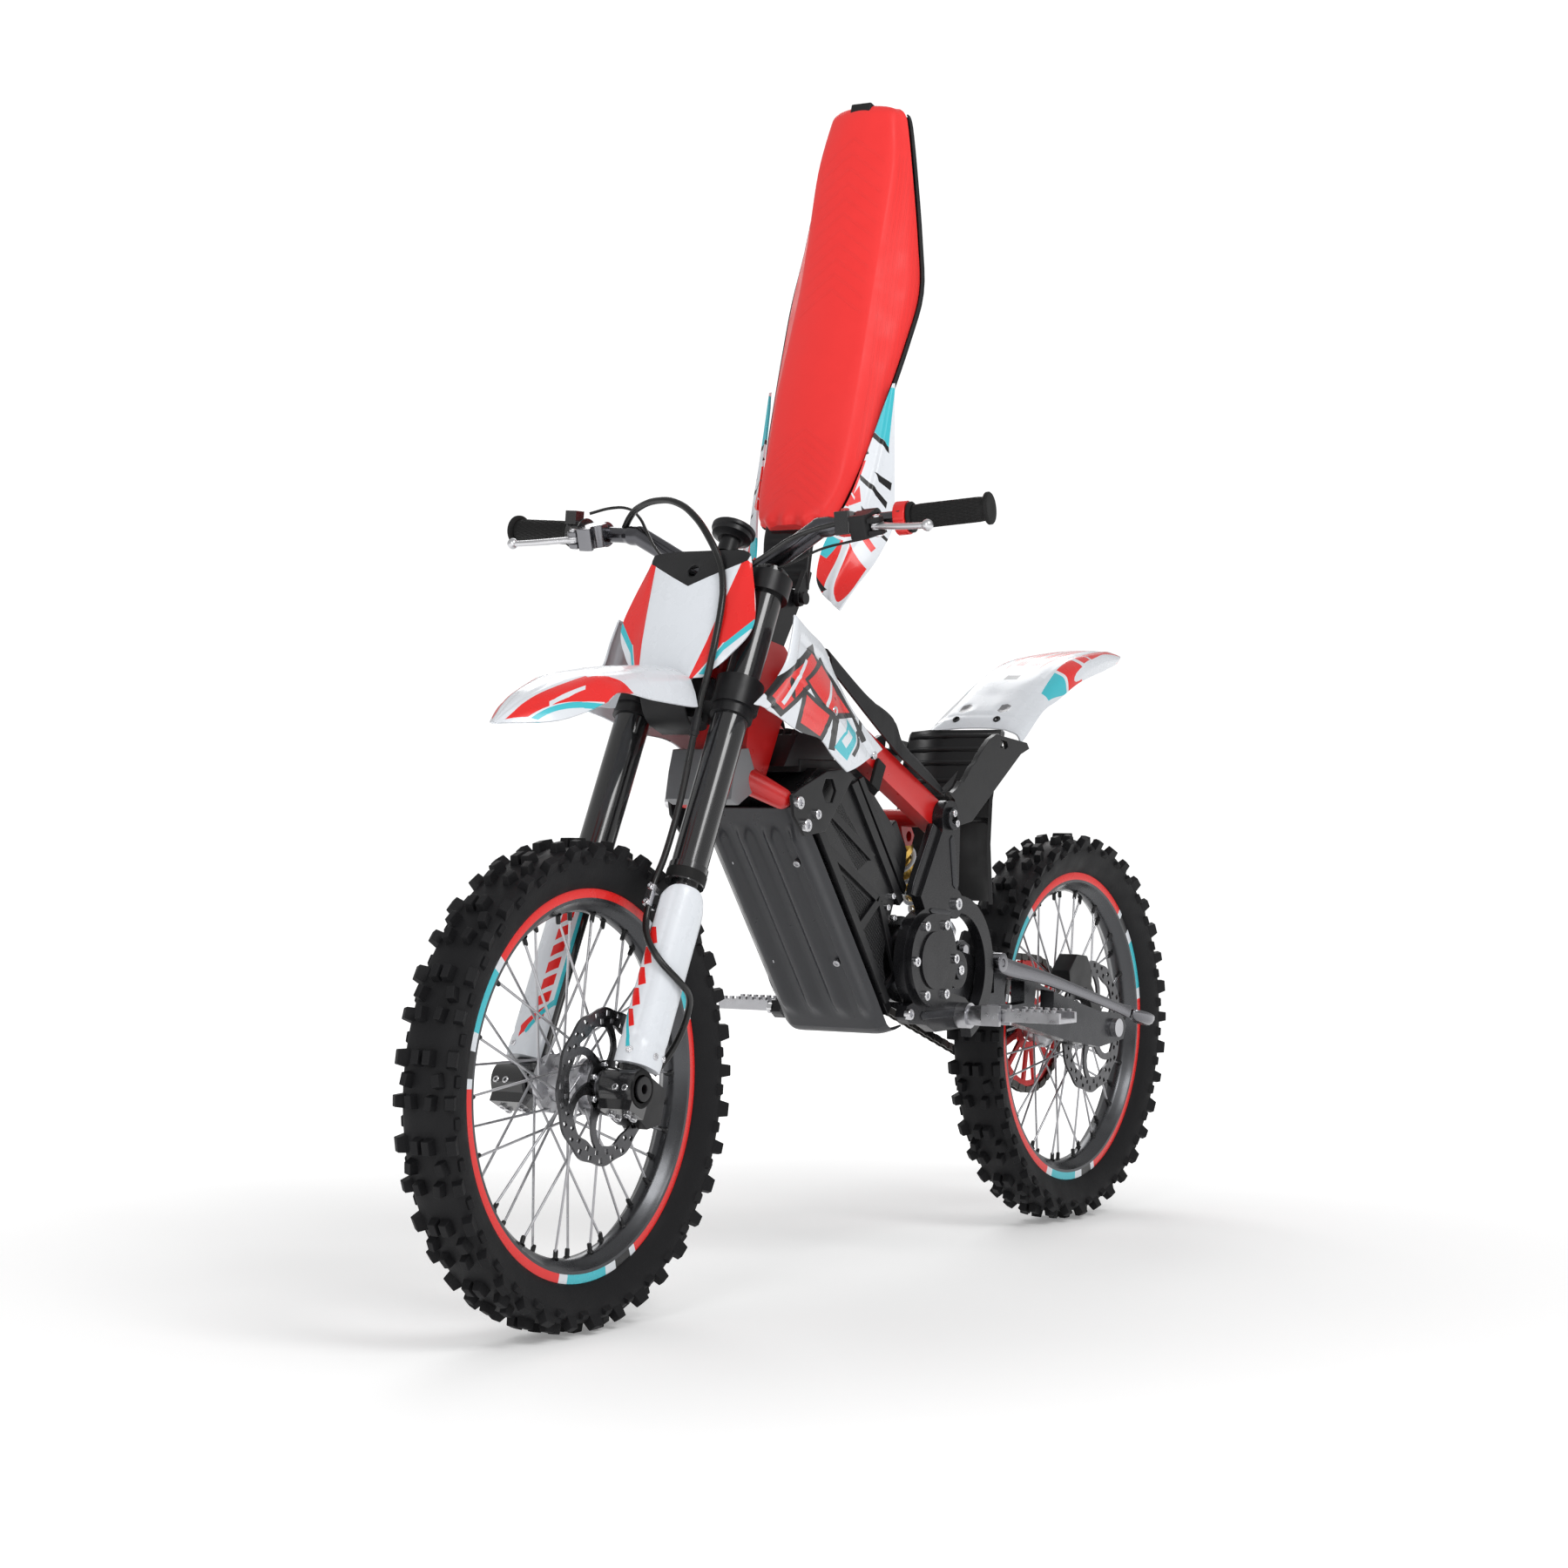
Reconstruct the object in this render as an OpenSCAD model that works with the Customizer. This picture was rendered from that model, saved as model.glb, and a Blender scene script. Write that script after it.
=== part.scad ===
// Full-size electric off-road motorcycle, in millimetres.
// +X points forward, +Y to the rider's left and +Z up.
// The origin is on the ground, midway between the two axles.

/* [Layout] */
// Distance between the front and rear axles
wheelbase = 1383; // [1375:1:1390]
// Outer radius of the tyres, over the knobs
tyre_r = 316.5; // [315:0.5:318]
// Steering head angle, measured from vertical
rake = 26.4; // [26:0.1:27]
// How far the seat is tipped up from closed
seat_open = 74; // [60:1:76]

/* [Fork] */
// Half the distance between the two fork legs
fork_half = 79; // [78:0.5:81]
// Radius of the outer tubes
outer_tube_r = 24.5; // [24:0.1:25]
// Radius of the inner tubes
inner_tube_r = 18; // [17:0.1:19]
// Distance from the leg axis back to the steering axis
clamp_offset = 24; // [22:0.5:26]
// Distance from the axle back to the leg axis
axle_lead = 11; // [9:0.5:13]

/* [Wheels] */
// Outer radius of the rim flanges
rim_r = 251.5; // [250:0.5:253]
// Half the width of the rims
rim_half = 23.5; // [22:0.5:25]
// Number of spokes in each wheel
spoke_count = 36; // [28:4:36]
// Radius of the front brake disc
front_disc_r = 101.5; // [95:0.5:105]
// Radius of the rear brake disc
rear_disc_r = 108; // [100:0.5:110]
// Radius of both wheel axles
axle_r = 10; // [8:0.5:12]

/* [Drive] */
// Teeth on the rear sprocket
sprocket_teeth = 54; // [52:1:56]
// Teeth on the motor sprocket
pinion_teeth = 13; // [12:1:14]
// Pitch of the chain
chain_pitch = 12.7; // [12.5:0.1:12.9]

/* [Handlebar] */
// Distance from the centre to the outer end of each grip
bar_half = 393; // [380:1:400]
// Radius of the bar where the grips sit
bar_r = 11.1; // [11:0.1:11.5]

/* [Hidden] */

$fn = 48;

// Running clearance between a shaft and its bore, and the gap left at a face
run = 0.05;
face_gap = 0.4;

// Axles and steering
front_x = wheelbase / 2;
rear_x = -wheelbase / 2;
steer_x = -axle_lead - clamp_offset;

// Levels along the fork, measured up the leg from the axle
tube_foot = 300;
lower_clamp_z = 550;
upper_clamp_z = 722;
tube_top = 760;

// Swingarm pivot, motor shaft, shock pivots, seat hinge, stand pivot and peg pivots
pivot = [-128, 434];
motor_c = [-40, 452];
arm_half = 84;
shock_top = [-118, 631];
shock_low = [-300, 455];
hinge = [195, 968];
stand_pivot = [-258, 440];
peg_bolt = [-132, 367];
peg_pivot_y = 186;

// Chain line and sprocket sizes
chain_y = -60;
sprocket_r = chain_pitch / 2 / sin(180 / sprocket_teeth);
pinion_r = chain_pitch / 2 / sin(180 / pinion_teeth);

// Bar: centre, start of the rise and start of the grip section
bar_centre = [322, 0, 996];
bar_rise = [322, 46, 996];
bar_bend = [330, 148, 1053];
bar_tilt = 4.6;
bar_sweep = 9.04;
bar_len = (bar_half - bar_bend[1]) / cos(bar_sweep) / cos(bar_tilt);

/* ---------- general shapes ---------- */

// Cylinder along Y between two planes
module ycyl(r, y0, y1)
  translate([0, y0, 0]) rotate([-90, 0, 0]) cylinder(r = r, h = y1 - y0);

// Side-view outline extruded along Y between two planes
module side_extrude(y0, y1)
  translate([0, y1, 0]) rotate([90, 0, 0]) linear_extrude(height = y1 - y0) children();

// The child and its mirror image on the right side
module both_sides() {
  children();
  mirror([0, 1, 0]) children();
}

// Places children with +Z running from p to q
module along(p, q) {
  v = q - p;
  translate(p) rotate([0, acos(v[2] / norm(v)), atan2(v[1], v[0])]) children();
}

// Round rod between two points
module rod(p, q, r) along(p, q) cylinder(r = r, h = norm(q - p));

module at_xz(c) translate([c[0], 0, c[1]]) children();

// Frame of the fork: origin at the front axle, +Z up the legs
module fork_frame() translate([front_x, 0, tyre_r]) rotate([0, -rake, 0]) children();

// A point on the bike as seen in the fork's frame
function to_fork(p) = let (d = p - [front_x, 0, tyre_r])
  [d[0] * cos(rake) + d[2] * sin(rake), d[1], d[2] * cos(rake) - d[0] * sin(rake)];

// Frame of the left grip: origin at the bend, +Y outward along the bar
module bar_frame() translate(bar_bend) rotate([bar_tilt, 0, bar_sweep]) children();

module front_wheel() translate([front_x, 0, tyre_r]) children();
module rear_wheel() translate([rear_x, 0, tyre_r]) children();

// Turns the closed seat up about its hinge
module seat_pose()
  translate([hinge[0], 0, hinge[1]]) rotate([0, seat_open, 0]) translate([-hinge[0], 0, -hinge[1]]) children();

function shift(grid, v) = [for (row = grid) [for (p = row) p + v]];

// Full row from a half row that starts on the centre plane
function full_row(half) =
  concat([for (k = [len(half) - 1 : -1 : 1]) [half[k][0], -half[k][1], half[k][2]]], half);

function full_grid(halves) = [for (half = halves) full_row(half)];

function face_volume(pts, faces) =
  [for (f = faces) pts[f[0]] * cross(pts[f[1]], pts[f[2]])] * [for (f = faces) 1];

// Closed panel between two grids of points with the same rows and columns
module panel(top, bottom) {
  rows = len(top);
  cols = len(top[0]);
  base = rows * cols;
  pts = concat([for (row = top) each row], [for (row = bottom) each row]);
  skin = [for (i = [0 : rows - 2], j = [0 : cols - 2])
    each [[i * cols + j, i * cols + j + 1, (i + 1) * cols + j + 1],
          [i * cols + j, (i + 1) * cols + j + 1, (i + 1) * cols + j]]];
  under = [for (f = skin) [f[0] + base, f[2] + base, f[1] + base]];
  last = (rows - 1) * cols;
  rims = concat(
    [for (j = [0 : cols - 2]) each [[j + 1, j, j + base], [j + 1, j + base, j + 1 + base]]],
    [for (j = [0 : cols - 2])
      each [[last + j, last + j + 1, last + j + 1 + base], [last + j, last + j + 1 + base, last + j + base]]],
    [for (i = [0 : rows - 2])
      each [[i * cols, (i + 1) * cols, (i + 1) * cols + base], [i * cols, (i + 1) * cols + base, i * cols + base]]],
    [for (i = [0 : rows - 2]) let (a = (i + 1) * cols + cols - 1, b = i * cols + cols - 1)
      each [[a, b, b + base], [a, b + base, a + base]]]);
  faces = concat(skin, under, rims);
  polyhedron(pts, face_volume(pts, faces) > 0 ? [for (f = faces) [f[0], f[2], f[1]]] : faces);
}

// Points on a smooth curve through the route, with steps points to a stretch
function smooth(route, steps) = let (n = len(route)) concat(
  [for (i = [0 : n - 2], s = [0 : steps - 1]) let (
      t = s / steps,
      p0 = route[max(i - 1, 0)], p1 = route[i], p2 = route[i + 1], p3 = route[min(i + 2, n - 1)])
    0.5 * (2 * p1 + t * (p2 - p0) + t * t * (2 * p0 - 5 * p1 + 4 * p2 - p3)
      + t * t * t * (3 * p1 - p0 - 3 * p2 + p3))],
  [route[n - 1]]);

function unit(v) = v / norm(v);

// Ring axes carried along a path with no twist
function ring_axes(path, i, u) = let (
    t = unit(path[min(i + 1, len(path) - 1)] - path[max(i - 1, 0)]),
    w = unit(u - (u * t) * t))
  i == len(path) - 1 ? [[w, cross(t, w)]] : concat([[w, cross(t, w)]], ring_axes(path, i + 1, w));

// Hose or cable of one radius swept along its route
module hose(route, r, steps, sides, side_on) {
  path = smooth(route, steps);
  axes = ring_axes(path, 0, side_on);
  n = len(path);
  pts = [for (i = [0 : n - 1], k = [0 : sides - 1])
    path[i] + r * (axes[i][0] * cos(360 * k / sides) + axes[i][1] * sin(360 * k / sides))];
  faces = concat(
    [[for (k = [0 : sides - 1]) k]],
    [for (i = [0 : n - 2], k = [0 : sides - 1]) let (a = i * sides + k, b = i * sides + (k + 1) % sides)
      [a, a + sides, b + sides, b]],
    [[for (k = [sides - 1 : -1 : 0]) (n - 1) * sides + k]]);
  polyhedron(pts, faces);
}

// Flat outline that wraps two circles, as a chain or belt does
module wrap_2d(c1, r1, c2, r2) hull() {
  translate(c1) circle(r = r1, $fn = 96);
  translate(c2) circle(r = r2, $fn = 96);
}

// Cap bolt along Y with a domed head that stands on plane y and points outward
module cap_bolt(x, y, z, head_r, depth)
  translate([x, y, z]) {
    ycyl(head_r, 0, head_r * 0.7);
    ycyl(head_r * 0.72, head_r * 0.7, head_r * 1.1);
    ycyl(head_r * 0.55, -depth, 0.1);
  }

/* ---------- frame and its covers ---------- */

box_half = 46;
box_outline = [[342, 938], [300, 905], [255, 897], [215, 862], [262, 790], [310, 700], [350, 700],
  [352, 757], [341, 815], [392, 841]];

module main_frame() color("firebrick") difference() {
  union() {
    fork_frame() translate([steer_x, 0, 604]) cylinder(r = 31, h = 114);
    difference() {
      side_extrude(-box_half, box_half) polygon(box_outline);
      translate([285, 0, 838]) scale(0.86) translate([-285, 0, -838])
        side_extrude(-box_half, box_half) polygon([[318, 915], [300, 905], [255, 897], [215, 862],
          [262, 790], [310, 690], [345, 690], [345, 757], [335, 815], [350, 838]]);
    }
    both_sides() {
      hull() {
        translate([236, 58, 839]) rotate([0, 29, 0]) cube([12, 32, 56], center = true);
        translate([-103, 0, 658]) ycyl(21, 72, 97.8);
      }
      hull() {
        translate([345, 40, 712]) sphere(r = 19, $fn = 24);
        translate([312, 78, 686]) sphere(r = 15, $fn = 24);
      }
    }
    translate([-103, 0, 658]) ycyl(13, -74, 74);
    both_sides() side_extrude(27, 35)
      polygon([[-112, 664], [-90, 660], [-98, 634], [-108, 617], [-126, 617], [-134, 632]]);
  }
  fork_frame() translate([steer_x, 0, 600]) cylinder(r = 25.02, h = 122);
  at_xz(shock_top) ycyl(8.02, -40, 40);
  translate([-103, 0, 658]) ycyl(6.05, -100, 100);
}

module steering_bearings() color("silver") fork_frame() for (z = [604, 704])
  translate([steer_x, 0, z]) difference() {
    cylinder(r = 25, h = 14);
    translate([0, 0, -1]) cylinder(r = 15 + run, h = 16);
  }

// Black covers that lie along the top of the spars
module top_covers() color("dimgray") both_sides() panel(
  [for (q = [[212, 896, 86, 866], [112, 836, 90, 800], [42, 806, 92, 756], [15, 771, 94, 740],
             [-60, 730, 95, 706], [-98, 707, 96, 691]])
    [[q[0], q[2], q[1]], [q[0] + 2, q[2] + 8, q[1] - 6], [q[0] - 4, q[2] + 9, q[3]]]],
  [for (q = [[212, 896, 86, 866], [112, 836, 90, 800], [42, 806, 92, 756], [15, 771, 94, 740],
             [-60, 730, 95, 706], [-98, 707, 96, 691]])
    [[q[0], q[2] - 4, q[1]], [q[0] + 2, q[2] + 3.5, q[1] - 8], [q[0] - 4, q[2] + 4.5, q[3]]]]);

plate_y = 98;
module side_plates() color([0.16, 0.16, 0.17]) both_sides() difference() {
  side_extrude(plate_y, plate_y + 5) polygon([[324, 690], [302, 700], [232, 724], [184, 729], [160, 716],
    [236, 640], [290, 634], [318, 662]]);
  translate([226, 0, 697]) ycyl_hex(19, plate_y - 1, plate_y + 7);
}

module ycyl_hex(r, y0, y1) translate([0, y0, 0]) rotate([-90, 0, 0]) cylinder(r = r, h = y1 - y0, $fn = 6);

case_outline = [[250, 664], [98, 462], [30, 374], [20, 386], [32, 402], [46, 452], [34, 500], [14, 540],
  [-6, 606], [20, 648], [72, 690], [150, 728], [232, 728], [286, 696]];
case_half = 87;

module battery_case() color([0.14, 0.14, 0.15]) difference() {
  side_extrude(-case_half, case_half) polygon(case_outline);
  translate([120, 0, 590]) scale(0.94) translate([-120, 0, -590])
    side_extrude(-case_half, case_half) polygon(case_outline);
}

module battery_pack() color("darkorange") side_extrude(-80, 80) polygon([[236, 660], [100, 479], [62, 430],
  [56, 462], [44, 507], [26, 545], [7, 605], [29, 641], [77, 680], [149, 715], [224, 715], [268, 689]]);

module controller() color([0.12, 0.12, 0.13]) {
  side_extrude(-68, 68) polygon([[290, 730], [255, 775], [170, 770], [150, 732]]);
  for (y = [-60 : 15 : 60]) side_extrude(y - 2, y + 2)
    polygon([[262, 766], [248, 784], [176, 779], [168, 769]]);
}

bash_line = [[288, 672], [263, 640], [222, 588], [108, 440], [52, 366], [40, 352], [24, 346], [2, 350]];
module bash_plate() color([0.24, 0.24, 0.26]) difference() {
  panel([for (p = bash_line) full_row([[p[0], 0, p[1]], [p[0], 40, p[1]], [p[0] - 2, 70, p[1]],
          [p[0] - 12, 86, p[1] + 6]])],
        [for (p = bash_line) full_row([[p[0] - 4, 0, p[1] + 3], [p[0] - 4, 40, p[1] + 3],
          [p[0] - 6, 69, p[1] + 3], [p[0] - 15, 83, p[1] + 8]])]);
}

// Cast legs that hold the spars, the motor, the swingarm and the footpegs
cast_y0 = 98;
cast_y1 = 115;
module cast_outline() {
  difference() {
    union() {
      translate([-103, 658]) circle(r = 27);
      polygon([[-80, 672], [-77, 640], [-14, 545], [-40, 505], [-98, 500], [-128, 560], [-131, 660]]);
      translate(motor_c) circle(r = 76, $fn = 96);
      difference() {
        translate(pivot) circle(r = 110, $fn = 96);
        translate(pivot) circle(r = 84, $fn = 96);
        polygon([[-128, 434], [-20, 700], [200, 434], [100, 200], [-190, 250], [-165, 350]]);
      }
      translate([-118, 532]) circle(r = 22);
      polygon([[-96, 404], [-10, 396], [24, 388], [30, 372], [16, 362], [-30, 358], [-60, 346],
        [-165, 348], [-180, 372], [-150, 392]]);
      translate(pivot) circle(r = 28);
    }
    translate(motor_c) circle(r = 56, $fn = 96);
    translate(pivot) circle(r = 9 + run);
    translate([-103, 658]) circle(r = 6.05);
    translate(peg_bolt) circle(r = 6.05);
  }
}
module pivot_plates() color([0.2, 0.2, 0.21]) both_sides() side_extrude(cast_y0, cast_y1) cast_outline();

module motor() color("dimgray") at_xz(motor_c) {
  ycyl(63, -46, 66);
  ycyl(50, 66, 96);
  ycyl(30, -50, -45.9);
  ycyl(10, -70, -49.9);
}

module motor_covers() color([0.1, 0.1, 0.11]) both_sides() at_xz(motor_c) difference() {
  union() {
    ycyl(68, cast_y1 + 0.2, 124);
    ycyl(42, 124, 127);
    ycyl(54, 99, cast_y1 + 0.3);
  }
  for (a = [0 : 60 : 300]) rotate([0, a, 0]) translate([58, 0, 0]) ycyl(4.05, 90, 130);
}

// Bolts of the frame: motor covers, spar ends, side plates, bash plate and pivot
module frame_bolts() color("silver") {
  both_sides() {
    for (a = [0 : 60 : 300])
      cap_bolt(motor_c[0] + 58 * cos(a), 124, motor_c[1] + 58 * sin(a), 7.2, 14);
    cap_bolt(-118, cast_y1, 532, 9, 4);
    cap_bolt(311, plate_y + 5, 680, 9, 12);
    cap_bolt(291, plate_y + 5, 649, 9, 8);
    cap_bolt(262, plate_y + 5, 664, 7, 10);
    cap_bolt(22, cast_y1, 376, 8, 6);
    for (p = [[225, 60, 590], [118, 60, 452]])
      translate([p[0], p[1], p[2]]) rotate([0, 128, 0]) translate([0, 0, -3]) cylinder(r = 6, h = 6);
  }
  translate([-103, 0, 658]) {
    ycyl(6, -126, 126);
    both_sides() ycyl(18, cast_y1, 124);
  }
  at_xz(pivot) {
    ycyl(9, -122, 122);
    both_sides() ycyl(15, cast_y1, 121);
  }
  at_xz(shock_top) ycyl(8, -40, 40);
}

sub_y = 97;
module subframe() color([0.17, 0.17, 0.18]) {
  both_sides() difference() {
    side_extrude(sub_y, sub_y + 8) difference() {
      polygon([[-108, 700], [-124, 696], [-141, 704], [-152, 714], [-158, 712], [-170, 722], [-184, 736],
        [-196, 742], [-206, 752], [-224, 766], [-240, 778], [-262, 786], [-362, 775], [-370, 766],
        [-342, 757], [-186, 654], [-138, 646], [-132, 686]]);
      polygon([[-276, 778], [-296, 776], [-300, 768], [-292, 764], [-274, 767]]);
    }
  }
  panel(
    [for (q = [[-372, 792], [-350, 745], [-334, 690], [-328, 620], [-336, 530]])
      full_row([[q[0], 0, q[1]], [q[0] + 2, 40, q[1]], [q[0] + 14, 68, q[1]], [q[0] + 44, 84, q[1] - 4]])],
    [for (q = [[-368, 796], [-345, 746], [-329, 690], [-323, 620], [-331, 530]])
      full_row([[q[0], 0, q[1]], [q[0] + 2, 38, q[1]], [q[0] + 13, 64, q[1]], [q[0] + 43, 79, q[1] - 4]])]);
  for (s = [-1, 1]) translate([-318, s * 90, 762]) cube([24, 16, 14], center = true);
}

fender_rear = [
  [[-380, 0, 800], [-380, 45, 798], [-376, 78, 790], [-372, 90, 775]],
  [[-398, 0, 819], [-398, 46, 817], [-400, 77, 806], [-395, 89, 789]],
  [[-450, 0, 850], [-450, 46, 848], [-455, 74, 838], [-452, 86, 826]],
  [[-511, 0, 883], [-511, 44, 882], [-520, 72, 872], [-516, 80, 846]],
  [[-600, 0, 916], [-600, 42, 915], [-604, 72, 903], [-600, 74, 876]],
  [[-720, 0, 934], [-720, 40, 932], [-715, 64, 922], [-705, 62, 898]],
  [[-800, 0, 937], [-795, 34, 934], [-790, 52, 926], [-785, 50, 914]],
  [[-868, 0, 934], [-855, 20, 932], [-840, 32, 929], [-835, 30, 925]]];
module rear_fender() color("white") panel(full_grid(fender_rear), shift(full_grid(fender_rear), [3, 0, -4]));

// Left side shroud, from its rolled front edge back to the tail over the spar
shroud = [
  [[386, 145, 929], [400, 149, 900], [417, 150, 868], [452, 150, 836], [494, 150, 810]],
  [[340, 133, 918], [350, 139, 888], [360, 144, 852], [385, 146, 818], [430, 143, 796]],
  [[262, 112, 896], [292, 126, 872], [310, 138, 838], [330, 139, 806], [360, 136, 776]],
  [[225, 108, 858], [246, 122, 838], [262, 136, 806], [275, 134, 784], [290, 127, 766]],
  [[170, 108, 807], [194, 118, 792], [212, 128, 776], [228, 124, 760], [244, 120, 744]],
  [[88, 107, 758], [116, 110, 748], [142, 114, 740], [170, 115, 730], [197, 115, 723]]];
module side_shrouds() color("white") both_sides() {
  panel(shroud, shift(shroud, [-2, -4, 0]));
  translate([262, 0, 820]) ycyl(6, box_half, 133);
  translate([150, 0, 775]) ycyl(6, 78, 108);
}

module splash_guard() color("gray") difference() {
  side_extrude(-54, 54) polygon([[358, 754], [330, 702], [384, 676], [402, 684], [394, 722], [384, 752]]);
  side_extrude(-50, 50) polygon([[346, 762], [316, 700], [383, 681], [396, 687], [388, 722], [376, 752]]);
}

module seat_hinge() color([0.1, 0.1, 0.11]) {
  both_sides() side_extrude(16, 24) polygon([[276, 893], [240, 872], [182, 956], [184, 980], [206, 982]]);
  at_xz(hinge) ycyl(6, -40, 40);
  both_sides() at_xz(hinge) ycyl(9, 39.9, 44);
}

module footpeg_brackets() color("silver") both_sides() difference() {
  union() {
    translate([peg_bolt[0], 0, peg_bolt[1]]) ycyl(19, cast_y1 + 0.2, 134);
    hull() {
      translate([peg_bolt[0], 0, peg_bolt[1]]) ycyl(14, 130, 136);
      translate([-134, 164, 369]) cube([34, 6, 30], center = true);
    }
    for (x = [-151, -117]) translate([x, 176, 369]) cube([6, 30, 30], center = true);
    rod([-156, peg_pivot_y, 369], [-112, peg_pivot_y, 369], 5);
  }
  translate([peg_bolt[0], 0, peg_bolt[1]]) ycyl(6.05, 90, 142);
}

/* ---------- steering head and bar ---------- */

// Plan of the bridge between the two collars of a clamp
module bridge_2d() polygon([[8, -fork_half], [8, fork_half], [-44, fork_half], [-62, 30], [-62, -30],
  [-44, -fork_half]]);
module fork_clamps() color([0.13, 0.13, 0.14]) fork_frame() {
  difference() {
    union() {
      for (s = [-1, 1]) translate([-axle_lead, s * fork_half, lower_clamp_z]) {
        cylinder(r = 33, h = 40);
        translate([0, 0, -14]) cylinder(r = 29, h = 15);
      }
      translate([0, 0, lower_clamp_z + 4]) linear_extrude(height = 32) bridge_2d();
      translate([steer_x, 0, lower_clamp_z - 8]) cylinder(r = 22, h = 48);
    }
    for (s = [-1, 1]) translate([-axle_lead, s * fork_half, lower_clamp_z - 20])
      cylinder(r = outer_tube_r + 0.02, h = 70);
  }
  translate([steer_x, 0, lower_clamp_z + 10]) cylinder(r = 15, h = upper_clamp_z + 36 - lower_clamp_z - 10);
  difference() {
    union() {
      for (s = [-1, 1]) translate([-axle_lead, s * fork_half, upper_clamp_z]) cylinder(r = 32, h = 30);
      translate([0, 0, upper_clamp_z + 3]) linear_extrude(height = 24) bridge_2d();
      for (s = [-1, 1]) translate([-29, s * 30, upper_clamp_z + 45]) cube([38, 18, 38], center = true);
    }
    for (s = [-1, 1]) translate([-axle_lead, s * fork_half, upper_clamp_z - 10])
      cylinder(r = outer_tube_r + 0.02, h = 60);
    translate([steer_x, 0, upper_clamp_z - 5]) cylinder(r = 15 + run, h = 40);
    translate(to_fork(bar_centre)) ycyl(14.02, -60, 60);
  }
}

module fork_upper_tubes() color([0.05, 0.05, 0.06]) fork_frame() for (s = [-1, 1])
  translate([-axle_lead, s * fork_half, 0]) {
    difference() {
      translate([0, 0, tube_foot]) cylinder(r = outer_tube_r, h = tube_top - tube_foot);
      translate([0, 0, tube_foot - 1]) cylinder(r = inner_tube_r + run, h = tube_top - tube_foot - 12);
    }
    translate([0, 0, tube_top]) cylinder(r = 20, h = 4);
    difference() {
      translate([0, 0, tube_foot - 10]) cylinder(r = 26.5, h = 26);
      translate([0, 0, tube_foot - 11]) cylinder(r = inner_tube_r + run, h = 28);
    }
  }

module handlebar() color([0.3, 0.3, 0.31]) both_sides() {
  translate([bar_centre[0], 0, bar_centre[2]]) ycyl(14, -1, bar_rise[1]);
  translate(bar_rise) sphere(r = 14.3);
  rod(bar_rise, bar_bend, 14);
  translate(bar_bend) sphere(r = 14.3);
  bar_frame() {
    ycyl(14, 0, 14);
    translate([0, 14, 0]) rotate([-90, 0, 0]) cylinder(r1 = 14, r2 = bar_r, h = 12);
    ycyl(bar_r, 26, bar_len - 4);
  }
}

plate_rows = [
  [[396, 0, 1022], [396, 40, 1022], [397, 72, 1019], [397, 78, 1016]],
  [[408, 0, 1000], [408, 40, 1000], [406, 74, 1000], [400, 84, 1000]],
  [[446, 0, 921], [446, 40, 921], [445, 62, 921], [431, 107, 921]],
  [[468, 0, 876], [468, 34, 876], [467, 52, 876], [456, 84, 876]],
  [[484, 0, 845], [484, 28, 845], [482, 44, 845], [472, 54, 846]]];
module number_plate() color("white") {
  difference() {
    panel(full_grid(plate_rows), shift(full_grid(plate_rows), [-3.5, 0, -1]));
    translate([420, 0, 993]) rotate([0, 64, 0]) cylinder(r = 9, h = 60, center = true);
  }
  both_sides() rod([364, 24, 975], [414, 24, 986], 4);
}

fender_front = [
  [[863, 0, 779], [863, 2, 779], [862, 4, 778], [861, 6, 777]],
  [[802, 0, 816], [802, 20, 812], [800, 38, 800], [798, 52, 781]],
  [[728, 0, 840], [728, 28, 838], [727, 52, 828], [725, 70, 803]],
  [[690, 0, 848], [690, 30, 846], [688, 56, 838], [687, 71, 820]],
  [[612, 0, 857], [612, 32, 855], [612, 58, 842], [612, 71, 812]],
  [[530, 0, 860], [530, 32, 858], [530, 58, 842], [530, 70, 806]],
  [[494, 0, 858], [496, 30, 854], [500, 54, 840], [506, 68, 806]]];
module front_fender() color("white") {
  panel(full_grid(fender_front), shift(full_grid(fender_front), [0, 0, -3.5]));
  panel([[[500, -34, 853], [500, 34, 853]], [[480, -34, 792], [480, 34, 792]], [[444, -30, 772], [444, 30, 772]]],
        [[[497, -34, 846], [497, 34, 846]], [[477, -34, 790], [477, 34, 790]], [[442, -30, 769], [442, 30, 769]]]);
}

module display() color([0.08, 0.08, 0.09]) {
  translate([317, 0, 1063]) rotate([0, -30, 0]) {
    translate([0, 0, -30]) cylinder(r1 = 14, r2 = 31, h = 26);
    translate([0, 0, -4]) cylinder(r = 31, h = 4);
    translate([0, 0, -48]) cylinder(r = 9, h = 20);
  }
  translate([328, 0, 1023]) cube([26, 40, 10], center = true);
}

module left_grip() bar_frame() {
  color([0.05, 0.05, 0.05]) difference() {
    union() {
      ycyl(21, 130.5, 136);
      ycyl(16.5, 136, bar_len - 5);
      ycyl(22, bar_len - 6, bar_len);
    }
    ycyl(bar_r + run, 120, bar_len - 3);
  }
  color("red") difference() {
    ycyl(23, 113, 130);
    ycyl(bar_r + run, 110, 132);
    translate([0, 121, 0]) rotate([0, 60, 0]) translate([0, 0, 12]) cylinder(r = 4, h = 20);
  }
}

module throttle_grip() color([0.05, 0.05, 0.05]) mirror([0, 1, 0]) bar_frame() difference() {
  union() {
    ycyl(21, 128.5, 134);
    ycyl(16.5, 134, bar_len - 5);
    ycyl(22, bar_len - 6, bar_len);
  }
  ycyl(bar_r + run, 120, bar_len - 3.6);
}

// Levers and their perches, turned down about the bar
control_tilt = 17;
module control_pose() bar_frame() rotate([0, control_tilt, 0]) children();

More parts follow.
